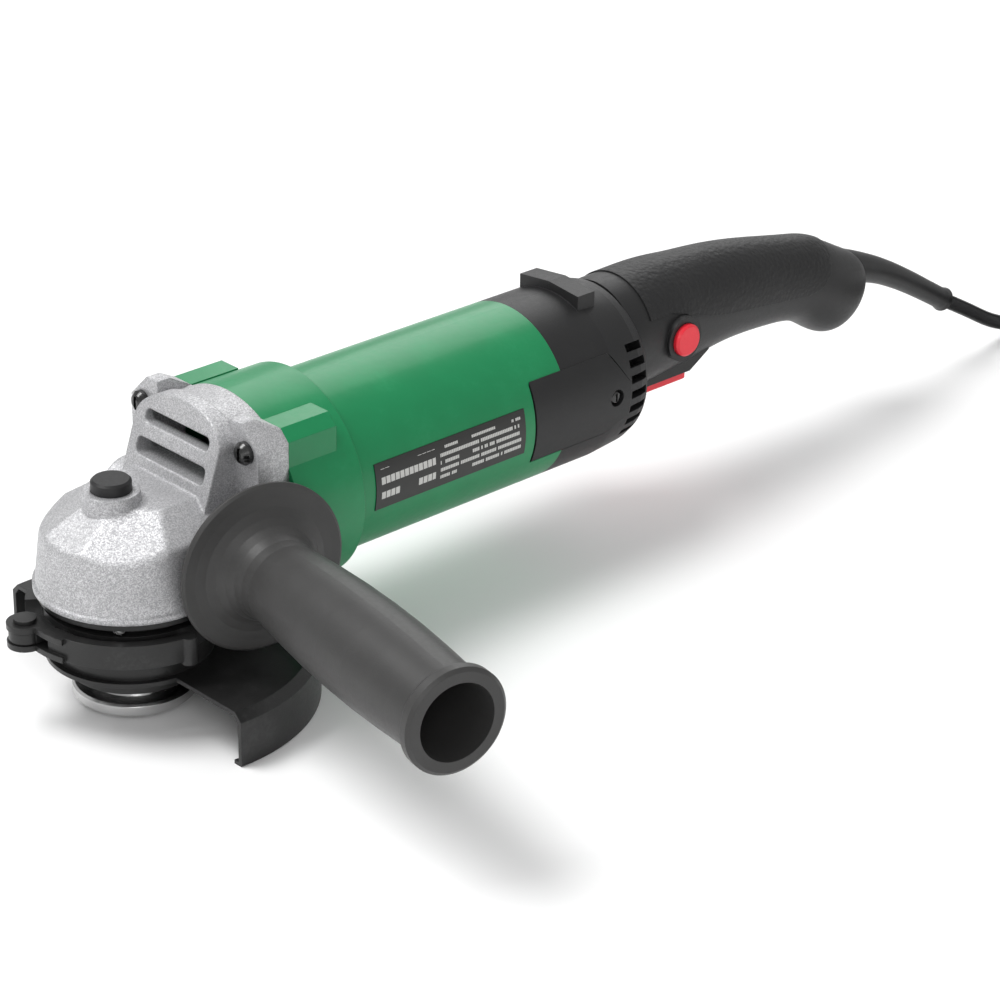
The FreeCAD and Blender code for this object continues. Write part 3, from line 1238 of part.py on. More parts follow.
def pieces():
    rear = rear_shell()
    grip = grip_shell()
    return {
        "spindle": spindle(),
        "spindle_clip": spindle_clip(),
        "lock_nut": lock_nut(),
        "inner_flange": inner_flange(),
        "drive_gear": drive_gear(),
        "pinion": pinion(),
        "spindle_bearing": spindle_bearing(),
        "spindle_bush": spindle_bush(),
        "dust_seal": dust_seal(),
        "gear_housing": gear_housing(),
        "flange_screws": flange_screws(),
        "bearing_cover": bearing_cover(),
        "bearing_cover_screws": cover_screws(),
        "lock_button": lock_button(),
        "lock_button_spring": lock_spring(),
        "guard_shroud": guard_shroud(),
        "guard_clamp_band": clamp_band(),
        "guard_lever": guard_lever(),
        "guard_lever_pin": lever_pin(),
        "motor_housing": motor_housing(),
        "rating_plate": rating_plate(),
        "fan": fan(),
        "air_baffle": air_baffle(),
        "armature_shaft": armature_shaft(),
        "armature_core": armature_core(),
        "armature_windings": armature_windings(),
        "commutator": commutator(),
        "front_bearing": front_bearing(),
        "rear_bearing": rear_bearing(),
        "stator_core": stator_core(),
        "field_coils": field_coils(),
        "brush_holders": brush_holders(),
        "carbon_brushes": carbon_brushes(),
        "brush_springs": brush_springs(),
        "brush_cover_left": brush_cover(),
        "brush_cover_right": mirrored(brush_cover()),
        "brush_cover_screws": brush_cover_screws(),
        "rear_housing_left": left_half(rear),
        "rear_housing_right": right_half(rear),
        "grip_left": left_half(grip),
        "grip_right": right_half(grip),
        "grip_pad_left": grip_pad(-1),
        "grip_pad_right": grip_pad(1),
        "grip_screws": shell_screws(),
        "trigger": trigger(),
        "trigger_spring": trigger_spring(),
        "switch_body": switch_body(),
        "lockon_button": lockon_button(),
        "lockon_spring": lockon_spring(),
        "capacitor": capacitor(),
        "cord_clamp": cord_clamp(),
        "cord_clamp_screws": cord_clamp_screws(),
        "cord_gland": cord_gland(),
        "power_cord": cord_tube(),
        "cord_coil": cord_coil(),
        "plug_body": plug_body(),
        "plug_pins": plug_pins(),
        "side_handle_grip": side_handle_grip(),
        "side_handle_stud": side_handle_stud(),
    }


def main():
    os.makedirs("parts", exist_ok=True)
    for name, shape in pieces().items():
        if not shape.isValid() or not shape.Solids:
            print("FAULT", name, shape.isValid(), len(shape.Solids))
        shape.exportStep("parts/" + name + ".step")


main()
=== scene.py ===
"""The looks of a corded angle grinder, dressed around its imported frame.

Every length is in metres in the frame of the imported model: the origin is on the spindle axis at the lock nut's
outer face, +X runs to the rear grip and +Z up the spindle.
"""

from __future__ import annotations

import json
import logging
import math
from dataclasses import dataclass, field
from enum import Enum

import bpy
from mathutils import Matrix, Vector

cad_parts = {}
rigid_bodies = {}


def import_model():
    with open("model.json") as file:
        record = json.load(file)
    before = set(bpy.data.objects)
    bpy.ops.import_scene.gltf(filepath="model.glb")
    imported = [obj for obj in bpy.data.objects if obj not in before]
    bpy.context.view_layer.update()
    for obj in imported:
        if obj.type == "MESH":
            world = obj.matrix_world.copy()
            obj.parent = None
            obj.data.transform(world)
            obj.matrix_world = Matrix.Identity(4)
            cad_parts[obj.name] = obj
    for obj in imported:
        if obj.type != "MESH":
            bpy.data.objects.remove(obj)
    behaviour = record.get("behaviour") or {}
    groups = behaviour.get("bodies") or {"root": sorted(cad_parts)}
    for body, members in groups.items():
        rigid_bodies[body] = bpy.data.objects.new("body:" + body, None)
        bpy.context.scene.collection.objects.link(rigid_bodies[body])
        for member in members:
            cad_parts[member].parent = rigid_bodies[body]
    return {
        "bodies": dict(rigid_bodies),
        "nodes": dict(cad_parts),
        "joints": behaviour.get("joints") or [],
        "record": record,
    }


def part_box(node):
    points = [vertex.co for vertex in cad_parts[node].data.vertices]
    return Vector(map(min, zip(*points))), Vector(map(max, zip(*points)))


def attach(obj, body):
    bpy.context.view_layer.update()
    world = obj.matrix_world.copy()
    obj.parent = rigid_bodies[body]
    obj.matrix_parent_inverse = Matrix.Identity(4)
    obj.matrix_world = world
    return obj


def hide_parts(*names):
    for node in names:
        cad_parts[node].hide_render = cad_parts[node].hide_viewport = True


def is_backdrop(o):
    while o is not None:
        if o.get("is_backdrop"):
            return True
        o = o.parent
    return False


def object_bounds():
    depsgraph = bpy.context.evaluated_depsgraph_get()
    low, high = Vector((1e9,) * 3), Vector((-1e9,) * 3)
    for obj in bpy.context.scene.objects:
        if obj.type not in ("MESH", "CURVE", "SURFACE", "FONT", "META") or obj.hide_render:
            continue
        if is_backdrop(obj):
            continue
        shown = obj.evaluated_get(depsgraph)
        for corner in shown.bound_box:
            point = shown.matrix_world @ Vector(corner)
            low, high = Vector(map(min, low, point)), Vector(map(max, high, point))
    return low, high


log = logging.getLogger("grinder")

Colour = tuple[float, float, float]
MM = 0.001


# ---------------------------------------------------------------- shader tools

class Wire:
    """A number that leaves a node, with Python's arithmetic on it."""

    def __init__(self, shader: Shader, socket: bpy.types.NodeSocket) -> None:
        """Keeps the socket and the shader that its further nodes go into."""
        self.shader = shader
        self.socket = socket

    def __add__(self, other: Number) -> Wire:
        """Sum of two numbers."""
        return self.shader.maths("ADD", self, other)

    __radd__ = __add__

    def __sub__(self, other: Number) -> Wire:
        """Difference of two numbers."""
        return self.shader.maths("SUBTRACT", self, other)

    def __rsub__(self, other: Number) -> Wire:
        """Difference, with this number taken away."""
        return self.shader.maths("SUBTRACT", other, self)

    def __mul__(self, other: Number) -> Wire:
        """Product of two numbers."""
        return self.shader.maths("MULTIPLY", self, other)

    __rmul__ = __mul__

    def __truediv__(self, other: Number) -> Wire:
        """Quotient of two numbers."""
        return self.shader.maths("DIVIDE", self, other)

    def __gt__(self, other: Number) -> Wire:
        """1 where this number is the larger, 0 elsewhere."""
        return self.shader.maths("GREATER_THAN", self, other)

    def __lt__(self, other: Number) -> Wire:
        """1 where this number is the smaller, 0 elsewhere."""
        return self.shader.maths("LESS_THAN", self, other)

    def __mod__(self, other: Number) -> Wire:
        """Remainder, never negative."""
        return self.shader.maths("FLOORED_MODULO", self, other)

    def clamped(self) -> Wire:
        """This number held between 0 and 1."""
        return self.shader.maths("ADD", self, 0.0, clamp=True)


Number = Wire | float


class Shader:
    """One material on the Principled shader."""

    def __init__(self, name: str) -> None:
        """Makes the material with its shader and output.

        Args:
            name: The material's name.
        """
        self.material = bpy.data.materials.new(name)
        self.material.use_nodes = True
        self.tree = self.material.node_tree
        self.tree.nodes.clear()
        self.surface = self.tree.nodes.new("ShaderNodeBsdfPrincipled")
        out = self.tree.nodes.new("ShaderNodeOutputMaterial")
        self.tree.links.new(self.surface.outputs[0], out.inputs["Surface"])

    def node(self, kind: str, inputs: dict | None = None, output: int | str = 0, **settings: object) -> Wire:
        """Adds a node.

        Args:
            kind: The node's type, without its ShaderNode prefix.
            inputs: A value or Wire for each named or numbered input.
            output: Which output leaves the node.
            settings: The node's own properties, which are set first.

        Returns:
            The node's output.
        """
        made = self.tree.nodes.new("ShaderNode" + kind)
        for key, value in settings.items():
            setattr(made, key, value)
        for key, value in (inputs or {}).items():
            self.feed(made.inputs[key], value)
        return Wire(self, made.outputs[output])

    def feed(self, socket: bpy.types.NodeSocket, value: object) -> None:
        """Sets a socket's value, or links it if the value is a Wire."""
        if isinstance(value, Wire):
            self.tree.links.new(value.socket, socket)
        else:
            socket.default_value = value

    def maths(self, operation: str, a: Number, b: Number, clamp: bool = False) -> Wire:
        """One step of arithmetic on two numbers."""
        return self.node("Math", {0: a, 1: b}, operation=operation, use_clamp=clamp)

    def place(self) -> Wire:
        """The point in the object's own space, in metres."""
        return self.node("TexCoord", output="Object")

    def stretched(self, scale: tuple[float, float, float]) -> Wire:
        """The point with each axis multiplied."""
        return self.node("VectorMath", {0: self.place(), 1: scale}, operation="MULTIPLY")

    def axis(self, name: str) -> Wire:
        """One coordinate of the point, X, Y or Z."""
        return self.node("SeparateXYZ", {0: self.place()}, output=name)

    def noise(self, size: float, detail: float = 2.0, rough: float = 0.5, at: Wire | None = None) -> Wire:
        """Cloudy noise from 0 to 1 whose blotches are about size metres across."""
        point = at or self.place()
        return self.node("TexNoise", {"Vector": point, "Scale": 1 / size, "Detail": detail, "Roughness": rough})

    def cells(self, size: float, feature: str = "F1", output: str = "Distance") -> Wire:
        """Cells about size metres across: their distance, or their random colour."""
        return self.node("TexVoronoi", {"Vector": self.place(), "Scale": 1 / size}, output, feature=feature)

    def mix(self, factor: Number, first: object, second: object) -> Wire:
        """A colour between two colours."""
        ends = {0: factor, 6: self.solid(first), 7: self.solid(second)}
        return self.node("Mix", ends, output=2, data_type="RGBA")

    def solid(self, colour: object) -> object:
        """A colour with its alpha, or the Wire unchanged."""
        return colour if isinstance(colour, Wire) else (*colour, 1.0)

    def ramp(self, value: Wire, low: float, high: float) -> Wire:
        """Goes smoothly from 0 to 1 as a number goes from low to high."""
        return self.node("MapRange", {0: value, 1: low, 2: high}, interpolation_type="SMOOTHSTEP")

    def bump(self, height: Wire, depth: float, soft: float = 0.0) -> None:
        """Raises the surface by a height, on edges that look slightly rounded.

        Args:
            height: From 0 to 1.
            depth: The rise in metres for a height of 1.
            soft: The apparent radius of sharp edges.
        """
        inputs = {"Height": height, "Distance": depth, "Strength": 1.0}
        if soft:
            inputs["Normal"] = self.node("Bevel", {"Radius": soft}, samples=4)
        self.feed(self.surface.inputs["Normal"], self.node("Bump", inputs))

    def set(self, **values: object) -> None:
        """Sets the shader's own sockets, with underscores for the spaces in their names."""
        for key, value in values.items():
            self.feed(self.surface.inputs[key.replace("_", " ")], value)


# ---------------------------------------------------------------- finishes

class Grain(Enum):
    """The texture that a finish has under the finger."""

    SMOOTH = "smooth"
    MOULDED = "moulded"
    LEATHER = "leather"
    TURNED = "turned"
    STACKED = "stacked"
    WOUND = "wound"


@dataclass(frozen=True)
class Finish:
    """A plain material with one colour, a grain and light marks of use."""

    name: str
    colour: Colour
    roughness: float
    metallic: float = 0.0
    coat: float = 0.0
    shine: float = 0.5
    grain: Grain = Grain.MOULDED
    size: float = 0.5 * MM
    depth: float = 0.01 * MM
    soft: float = 0.35 * MM
    scuff: Colour = (0.30, 0.30, 0.30)
    scuffed: float = 0.06
    blotch_size: float = 18 * MM
    speckle_size: float = 1.6 * MM
    darkest: float = 0.86
    lightest: float = 1.12

    def height(self, shader: Shader) -> Wire:
        """The grain's height, from 0 to 1."""
        if self.grain is Grain.LEATHER:
            pebble = shader.cells(self.size, "SMOOTH_F1")
            return pebble * 0.8 + shader.noise(self.size * 0.45) * 0.4
        if self.grain is Grain.TURNED:
            flat = shader.stretched((1, 1, 0))
            across = shader.node("VectorMath", {0: flat}, "Value", operation="LENGTH")
            return shader.node("TexNoise", {"W": across, "Scale": 1 / self.size}, noise_dimensions="1D")
        if self.grain is Grain.STACKED:
            return (shader.axis("X") % self.size / self.size > 0.3).clamped()
        if self.grain is Grain.WOUND:
            return shader.noise(self.size, at=shader.stretched((0.08, 1, 1)))
        if self.grain is Grain.SMOOTH:
            return shader.noise(self.size * 8, 1.0)
        return shader.noise(self.size, 3.0, 0.6)

    def build(self) -> bpy.types.Material:
        """Makes the material."""
        shader = Shader(self.name)
        blotch = shader.noise(self.blotch_size, 4.0, 0.6)
        fine = shader.noise(self.speckle_size, 3.0, 0.7)
        rubbed = shader.ramp(blotch * 0.6 + fine * 0.4, 0.50, 0.75)
        dark = tuple(self.darkest * c for c in self.colour)
        light = tuple(min(1.0, self.lightest * c) for c in self.colour)
        body = shader.mix(blotch, dark, light)
        shader.set(
            Base_Color=shader.mix(rubbed * self.scuffed, body, self.scuff),
            Roughness=(fine * 0.16 + (self.roughness - 0.08) + rubbed * 0.06).clamped(),
            Metallic=self.metallic,
            Specular_IOR_Level=self.shine,
            Coat_Weight=self.coat,
            Coat_Roughness=0.12,
        )
        shader.bump(self.height(shader), self.depth, self.soft)
        return shader.material


@dataclass(frozen=True)
class CastMetal:
    """Bare cast aluminium with a fine, sparkling, lightly blasted skin."""

    name: str = "cast_aluminium"
    shade: Colour = (0.37, 0.37, 0.382)
    bright: Colour = (0.68, 0.68, 0.69)
    stain: Colour = (0.30, 0.30, 0.31)
    flake: float = 0.32 * MM
    grit: float = 0.6 * MM
    stain_size: float = 26 * MM
    roughness: float = 0.60
    blast_depth: float = 0.09 * MM
    edge_radius: float = 1.4 * MM

    def build(self) -> bpy.types.Material:
        """Makes the material."""
        shader = Shader(self.name)
        speck = shader.node("SeparateColor", {0: shader.cells(self.flake, output="Color")}, output="Red")
        cloud = shader.noise(self.grit, 3.0, 0.7)
        glint = shader.ramp(speck * 0.7 + cloud * 0.45, 0.25, 1.05)
        stain = shader.ramp(shader.noise(self.stain_size, 4.0, 0.6), 0.42, 0.72)
        shader.set(
            Base_Color=shader.mix(stain * 0.3, shader.mix(glint, self.shade, self.bright), self.stain),
            Roughness=(self.roughness - glint * 0.16 + stain * 0.05).clamped(),
            Metallic=(0.62 + glint * 0.2).clamped(),
        )
        shader.bump(cloud * 0.5 + speck * 0.5, self.blast_depth, self.edge_radius)
        return shader.material


@dataclass(frozen=True)
class PrintedFilm:
    """The rating plate: a dark film with plain pale rows that stand for its print."""

    name: str = "rating_label"
    film: Colour = (0.018, 0.018, 0.017)
    ink: Colour = (0.62, 0.62, 0.60)
    small_row: float = 2.7 * MM
    big_row: float = 5.4 * MM
    small_stroke: float = 0.8 * MM
    big_stroke: float = 2.1 * MM
    word: float = 6.3 * MM
    margin: float = 2.2 * MM
    big_share: float = 0.42
    bar_low: float = 0.30
    bar_top: float = 0.78
    stroke_gap: float = 0.16
    missing_words: float = 0.14
    missing_strokes: float = 0.12
    print_strength: float = 0.85

    def build(self) -> bpy.types.Material:
        """Makes the material."""
        shader = Shader(self.name)
        low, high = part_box("rating_plate")
        height = shader.axis("Z") - (low.z + self.margin)
        along = shader.axis("X") - low.x
        edge = (high.x - low.x) * self.big_share
        tall = high.z - low.z - 2 * self.margin
        big = self.rows(shader, along, height, self.big_row, self.big_stroke) * (along < edge - self.margin)
        small = self.rows(shader, along, height, self.small_row, self.small_stroke) * (along > edge)
        between_ends = (along > self.margin) * (along < high.x - low.x - self.margin)
        inside = between_ends * (height > 0.0) * (height < tall)
        ink = (big + small) * inside
        shader.set(
            Base_Color=shader.mix((ink * self.print_strength).clamped(), self.film, self.ink),
            Roughness=(0.30 + shader.noise(4 * MM, 3.0) * 0.2).clamped(),
            Specular_IOR_Level=0.35,
            Coat_Weight=0.15,
            Coat_Roughness=0.2,
        )
        shader.bump(shader.noise(6 * MM, 2.0), 0.02 * MM)
        return shader.material

    def rows(self, shader: Shader, along: Wire, height: Wire, row: float, stroke: float) -> Wire:
        """Rows of short bars with gaps, which stand for words.

        Args:
            shader: The material's shader.
            along: How far along the film the point is.
            height: How far up the film the point is.
            row: The pitch of the rows.
            stroke: The length of one bar.

        Returns:
            1 on a bar, 0 elsewhere.
        """
        line = shader.node("Math", {0: height / row}, operation="FLOOR")
        bar = (height % row > row * self.bar_low) * (height % row < row * self.bar_top)
        gap = along % stroke > stroke * self.stroke_gap
        kept = shader.node("TexWhiteNoise", {"Vector": self.lattice(shader, along, line, self.word)})
        filled = shader.node("TexWhiteNoise", {"Vector": self.lattice(shader, along, line, stroke)})
        return bar * gap * (kept > self.missing_words) * (filled > self.missing_strokes)

    def lattice(self, shader: Shader, along: Wire, line: Wire, step: float) -> Wire:
        """A point that stays the same within one stroke of one row."""
        column = shader.node("Math", {0: along / step}, operation="FLOOR")
        return shader.node("CombineXYZ", {0: column, 1: line, 2: step / MM})


FINISHES = (
    CastMetal(),
    PrintedFilm(),
    Finish("green_shell", (0.0, 0.205, 0.068), 0.36, coat=0.12, shine=0.4, grain=Grain.SMOOTH, size=0.5 * MM,
           depth=0.05 * MM, scuff=(0.03, 0.30, 0.13), scuffed=0.2),
    Finish("black_plastic", (0.014, 0.014, 0.0145), 0.44, shine=0.34, size=0.42 * MM, depth=0.05 * MM,
           scuff=(0.10, 0.10, 0.10)),
    Finish("handle_plastic", (0.040, 0.0395, 0.039), 0.44, shine=0.36, size=0.5 * MM, depth=0.035 * MM,
           scuff=(0.14, 0.14, 0.14)),
    Finish("grip_rubber", (0.013, 0.013, 0.0135), 0.50, shine=0.34, grain=Grain.LEATHER, size=1.7 * MM,
           depth=0.30 * MM, scuff=(0.09, 0.09, 0.09)),
    Finish("red_plastic", (0.78, 0.018, 0.036), 0.38, coat=0.15, shine=0.4, size=0.6 * MM, depth=0.02 * MM,
           scuff=(0.85, 0.18, 0.17), scuffed=0.2),
    Finish("black_steel", (0.022, 0.022, 0.022), 0.40, metallic=0.35, coat=0.12, shine=0.4, size=0.7 * MM,
           depth=0.04 * MM, scuff=(0.20, 0.20, 0.20), scuffed=0.10),
    Finish("bright_steel", (0.62, 0.62, 0.62), 0.22, metallic=1.0, grain=Grain.TURNED, size=0.35 * MM,
           depth=0.012 * MM, scuff=(0.35, 0.34, 0.33), scuffed=0.2),
    Finish("spring_steel", (0.42, 0.42, 0.43), 0.30, metallic=1.0, grain=Grain.SMOOTH),
    Finish("gear_steel", (0.36, 0.36, 0.37), 0.34, metallic=1.0, grain=Grain.TURNED, size=0.4 * MM),
    Finish("lamination", (0.20, 0.20, 0.22), 0.45, metallic=0.7, grain=Grain.STACKED, size=0.7 * MM,
           depth=0.05 * MM),
    Finish("copper", (0.72, 0.27, 0.12), 0.32, metallic=0.9, grain=Grain.WOUND, size=0.6 * MM, depth=0.2 * MM),
    Finish("carbon", (0.035, 0.035, 0.036), 0.62, size=0.3 * MM, depth=0.04 * MM),
    Finish("fan_plastic", (0.060, 0.060, 0.066), 0.50, depth=0.03 * MM),
    Finish("lead_rubber", (0.013, 0.013, 0.0135), 0.46, shine=0.38, size=0.4 * MM, depth=0.03 * MM, soft=0.0),
    Finish("dark_screw", (0.045, 0.045, 0.045), 0.20, metallic=0.85, coat=0.3, size=0.7 * MM, soft=0.25 * MM),
    Finish("brass_pin", (0.72, 0.52, 0.22), 0.26, metallic=1.0, grain=Grain.TURNED, size=0.4 * MM),
)
OTHER_FINISH = {
    "side_handle_grip": "handle_plastic",
    "flange_screws": "dark_screw",
    "brush_cover_screws": "dark_screw",
    "grip_screws": "dark_screw",
}


class PaintShop:
    """Makes each finish once and gives it to the nodes and pieces that wear it."""

    def __init__(self) -> None:
        """Makes the materials."""
        self.materials = {finish.name: finish.build() for finish in FINISHES}

    def coat(self, piece: bpy.types.Object, name: str) -> None:
        """Gives a piece one finish all over."""
        piece.data.materials.clear()
        piece.data.materials.append(self.materials[name])

    def coat_frame(self, frame: dict) -> None:
        """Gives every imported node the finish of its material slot."""
        for part in frame["record"]["subparts"]:
            node = frame["nodes"][part["node"]]
            finish = OTHER_FINISH.get(part["node"], part["material_slot"])
            for slot in node.material_slots:
                slot.material = self.materials[finish]
            log.info("node %s wears %s", part["node"], finish)


# ---------------------------------------------------------------- mesh tools

Ring = list[Vector]


def skin_rings(name: str, rings: list[Ring]) -> bpy.types.Object:
    """Joins rings of equal count into one smooth skin with capped ends.

    Args:
        name: The piece's name.
        rings: Rings of points, in order along the piece.

    Returns:
        The new object, in the scene.
    """
    count = len(rings[0])
    faces = []
    for i in range(len(rings) - 1):
        for j in range(count):
            k = (j + 1) % count
            faces.append((i * count + j, i * count + k, (i + 1) * count + k, (i + 1) * count + j))
    last = (len(rings) - 1) * count
    faces.append(tuple(reversed(range(count))))
    faces.append(tuple(range(last, last + count)))
    mesh = bpy.data.meshes.new(name)
    mesh.from_pydata([tuple(p) for ring in rings for p in ring], [], faces)
    mesh.validate()
    for polygon in mesh.polygons:
        polygon.use_smooth = len(polygon.vertices) == 4
    piece = bpy.data.objects.new(name, mesh)
    bpy.context.scene.collection.objects.link(piece)
    return piece


def smooth_line(points: list[Vector], steps: int) -> list[Vector]:
    """The points of a NURBS line that a route's points steer.

    Args:
        points: The route's control points.
        steps: Points on the line for each control point.

    Returns:
        Points along the line, in order.
    """
    curve = bpy.data.curves.new("route", "CURVE")
    curve.dimensions = "3D"
    curve.resolution_u = steps
    spline = curve.splines.new("NURBS")
    spline.points.add(len(points) - 1)
    for slot, point in zip(spline.points, points):
        slot.co = (*point, 1.0)
    spline.order_u = 3
    spline.use_endpoint_u = True
    holder = bpy.data.objects.new("route", curve)
    mesh = bpy.data.meshes.new_from_object(holder)
    line = [vertex.co.copy() for vertex in mesh.vertices]
    bpy.data.objects.remove(holder)
    bpy.data.curves.remove(curve)
    bpy.data.meshes.remove(mesh)
    return line


def swept_rings(line: list[Vector], section: list[tuple[float, float]], sizes: list[float]) -> list[Ring]:
    """Carries a section along a line, with its second axis kept as upright as it can be.

    Args:
        line: The points to follow.
        section: The section's points, (sideways, upright).
        sizes: The section's scale at each point of the line.

    Returns:
        One ring for each point of the line.
    """
    rings = []
    for i, (point, size) in enumerate(zip(line, sizes)):
        ahead = (line[min(i + 1, len(line) - 1)] - line[max(i - 1, 0)]).normalized()
        upright = (Vector((0, 0, 1)) - ahead * ahead.z).normalized()
        side = ahead.cross(upright)
        rings.append([point + side * (a * size) + upright * (b * size) for a, b in section])
    return rings


def circle(radius: float, count: int) -> list[tuple[float, float]]:
    """The points of a circle."""
    return [(radius * math.cos(2 * math.pi * i / count), radius * math.sin(2 * math.pi * i / count))
            for i in range(count)]


def line_length(line: list[Vector]) -> float:
    """The length of a line through its points."""
    return sum((b - a).length for a, b in zip(line, line[1:]))


# ---------------------------------------------------------------- mains lead

@dataclass
class Lead:
    """The flat two-core mains lead, its spare length coiled, with the plug lying on the coil."""

    width: float = 6.0 * MM
    thick: float = 3.8 * MM
    route: tuple = (
        (0.4190, 0.0, 0.0262),
        (0.4340, -0.0003, 0.0181),
        (0.4530, -0.0006, 0.0068),
        (0.4710, -0.0003, 0.0007),
        (0.4870, 0.0002, 0.00062),
    )
    turns: int = 11
    columns: int = 4
    column_pitch: float = 4.3 * MM
    layer_pitch: float = 6.0 * MM
    turn_points: int = 16
    shift_from: float = 0.75
    wander: float = 0.25 * MM
    rise_shares: tuple[float, ...] = (0.12, 0.27, 0.42, 0.57, 0.72, 0.87)
    web_waist: float = 0.42
    section_points: int = 24
    plug_overlap: float = 2 * MM
    centre: Vector = field(default_factory=Vector)
    outer_turn: float = 0.0

    def measure(self) -> None:
        """Takes the coil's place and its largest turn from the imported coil."""
        low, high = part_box("cord_coil")
        self.centre = (low + high) / 2
        self.outer_turn = (high.x - low.x) / 2 - self.thick * 0.7

    def turn_place(self, turn: float) -> tuple[float, float]:
        """How far out and how high the lead lies after a number of turns."""
        whole = min(int(turn), self.turns - 1)
        late = max(0.0, (turn - whole - self.shift_from) / (1 - self.shift_from))
        ease = late * late * (3 - 2 * late)
        places = [self.slot_place(whole), self.slot_place(min(whole + 1, self.turns - 1))]
        radius, height = (a + (b - a) * ease for a, b in zip(*places))
        return radius, height

    def slot_place(self, turn: int) -> tuple[float, float]:
        """The radius and height of a turn's slot: inwards on one layer, outwards on the next."""
        layer, column = divmod(turn, self.columns)
        if layer % 2:
            column = self.columns - 1 - column
        return self.outer_turn - column * self.column_pitch, self.route[-1][2] + layer * self.layer_pitch

    def coil_points(self) -> list[Vector]:
        """The coil's turns, clockwise from where the lead comes in."""
        points = []
        start = (Vector(self.route[-1]) - self.centre).xy.length
        for i in range(1, self.turns * self.turn_points + 1):
            turn = i / self.turn_points
            radius, height = self.turn_place(turn)
            joining = max(0.0, 1 - turn * 4)
            radius += (start - radius) * joining + self.wander * math.sin(5.0 * turn + 1.0)
            angle = math.pi / 2 - 2 * math.pi * turn
            points.append(Vector((self.centre.x + radius * math.cos(angle),
                                  self.centre.y + radius * math.sin(angle), height)))
        return points

    def rise_points(self, plug_rear: Vector) -> list[Vector]:
        """From the last turn up over the coil and into the rear of the plug."""
        radius, height = self.turn_place(float(self.turns))
        away = (plug_rear - self.centre).xy
        end_radius = away.length
        turned = math.pi / 2 - math.atan2(away.y, away.x)
        points = []
        for share in self.rise_shares:
            angle = math.pi / 2 - turned * share
            out = radius + (end_radius - radius) * share
            lift = height + (plug_rear.z - height) * min(1.0, share * 1.25)
            points.append(Vector((self.centre.x + out * math.cos(angle),
                                  self.centre.y + out * math.sin(angle), lift)))
        points.append(plug_rear)
        points.append(plug_rear - Vector((5 * MM, 0, 0)))
        return points

    def section(self) -> list[tuple[float, float]]:
        """Two round cores side by side, joined by a web, with a groove along each face."""
        half = self.width / 2 - self.thick / 2
        points = []
        for i in range(self.section_points):
            angle = 2 * math.pi * i / self.section_points
            shift = half if math.sin(angle) > 0 else -half
            waist = 1 - self.web_waist * abs(math.cos(angle)) ** 6
            points.append((self.thick / 2 * math.cos(angle) * waist, self.thick / 2 * math.sin(angle) + shift))
        return points

    def build(self, paint: PaintShop, plug: list[bpy.types.Object]) -> None:
        """Args:
            paint: The finishes.
            plug: The pieces of the plug at its far end. Not used.
        """
        self.measure()
        low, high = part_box("plug_body")
        rear = Vector((high.x + Plug.tail - self.plug_overlap, (low.y + high.y) / 2, (low.z + high.z) / 2))
        steering = [Vector(p) for p in self.route] + self.coil_points() + self.rise_points(rear)
        line = smooth_line(steering, 4)
        piece = skin_rings("mains_lead", swept_rings(line, self.section(), [1.0] * len(line)))
        paint.coat(piece, "lead_rubber")
        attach(piece, "tool_body")
        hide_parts("power_cord", "cord_coil")


@dataclass
class Plug:
    """The moulded two-pin plug with its ribbed tail."""

    tail: float = 11.0 * MM
    tail_tip: float = 3.4 * MM
    tail_slope: float = 1.6 * MM
    ribs: int = 4
    rib_height: float = 0.45 * MM
    rib_points: int = 6
    ring_points: int = 40
    body: tuple = (
        (0.02, 0.78, 0.70, 2.4),
        (0.08, 0.93, 0.88, 3.0),
        (0.25, 1.00, 1.00, 3.6),
        (0.55, 0.94, 0.90, 3.6),
        (0.80, 0.98, 0.96, 3.6),
        (0.95, 1.00, 1.00, 3.8),
        (0.99, 0.96, 0.95, 3.8),
        (1.00, 0.90, 0.88, 3.8),
    )

    def rings(self) -> list[Ring]:
        """Rings from the tip of the tail to the face that the pins stand on."""
        low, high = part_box("plug_body")
        middle = (low + high) / 2
        half_y, half_z = (high.y - low.y) / 2, (high.z - low.z) / 2
        stations = []
        steps = self.ribs * self.rib_points
        for i in range(steps + 1):
            share = i / steps
            rib = self.rib_height * math.cos(2 * math.pi * self.ribs * share)
            radius = self.tail_tip + self.tail_slope * share + rib
            stations.append((high.x + self.tail * (1 - share), radius, radius, 2.0))
        for share, wide, tall, square in self.body:
            stations.append((high.x + (low.x - high.x) * share, half_y * wide, half_z * tall, square))
        return [self.ring(x, middle, a, b, square) for x, a, b, square in stations]

    def ring(self, x: float, middle: Vector, half_y: float, half_z: float, square: float) -> Ring:
        """One rounded cross-section of the plug."""
        ring = []
        for i in range(self.ring_points):
            angle = -2 * math.pi * i / self.ring_points
            c, s = math.cos(angle), math.sin(angle)
            y = math.copysign(abs(c) ** (2 / square), c) * half_y
            z = math.copysign(abs(s) ** (2 / square), s) * half_z
            ring.append(Vector((x, middle.y + y, middle.z + z)))
        return ring

    def build(self, paint: PaintShop, frame: dict) -> list[bpy.types.Object]:
        """Makes the plug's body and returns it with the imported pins."""
        body = skin_rings("plug_moulding", self.rings())
        paint.coat(body, "lead_rubber")
        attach(body, "tool_body")
        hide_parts("plug_body")
        log.info("plug with %d ribs on its tail", self.ribs)
        return [body, frame["nodes"]["plug_pins"]]


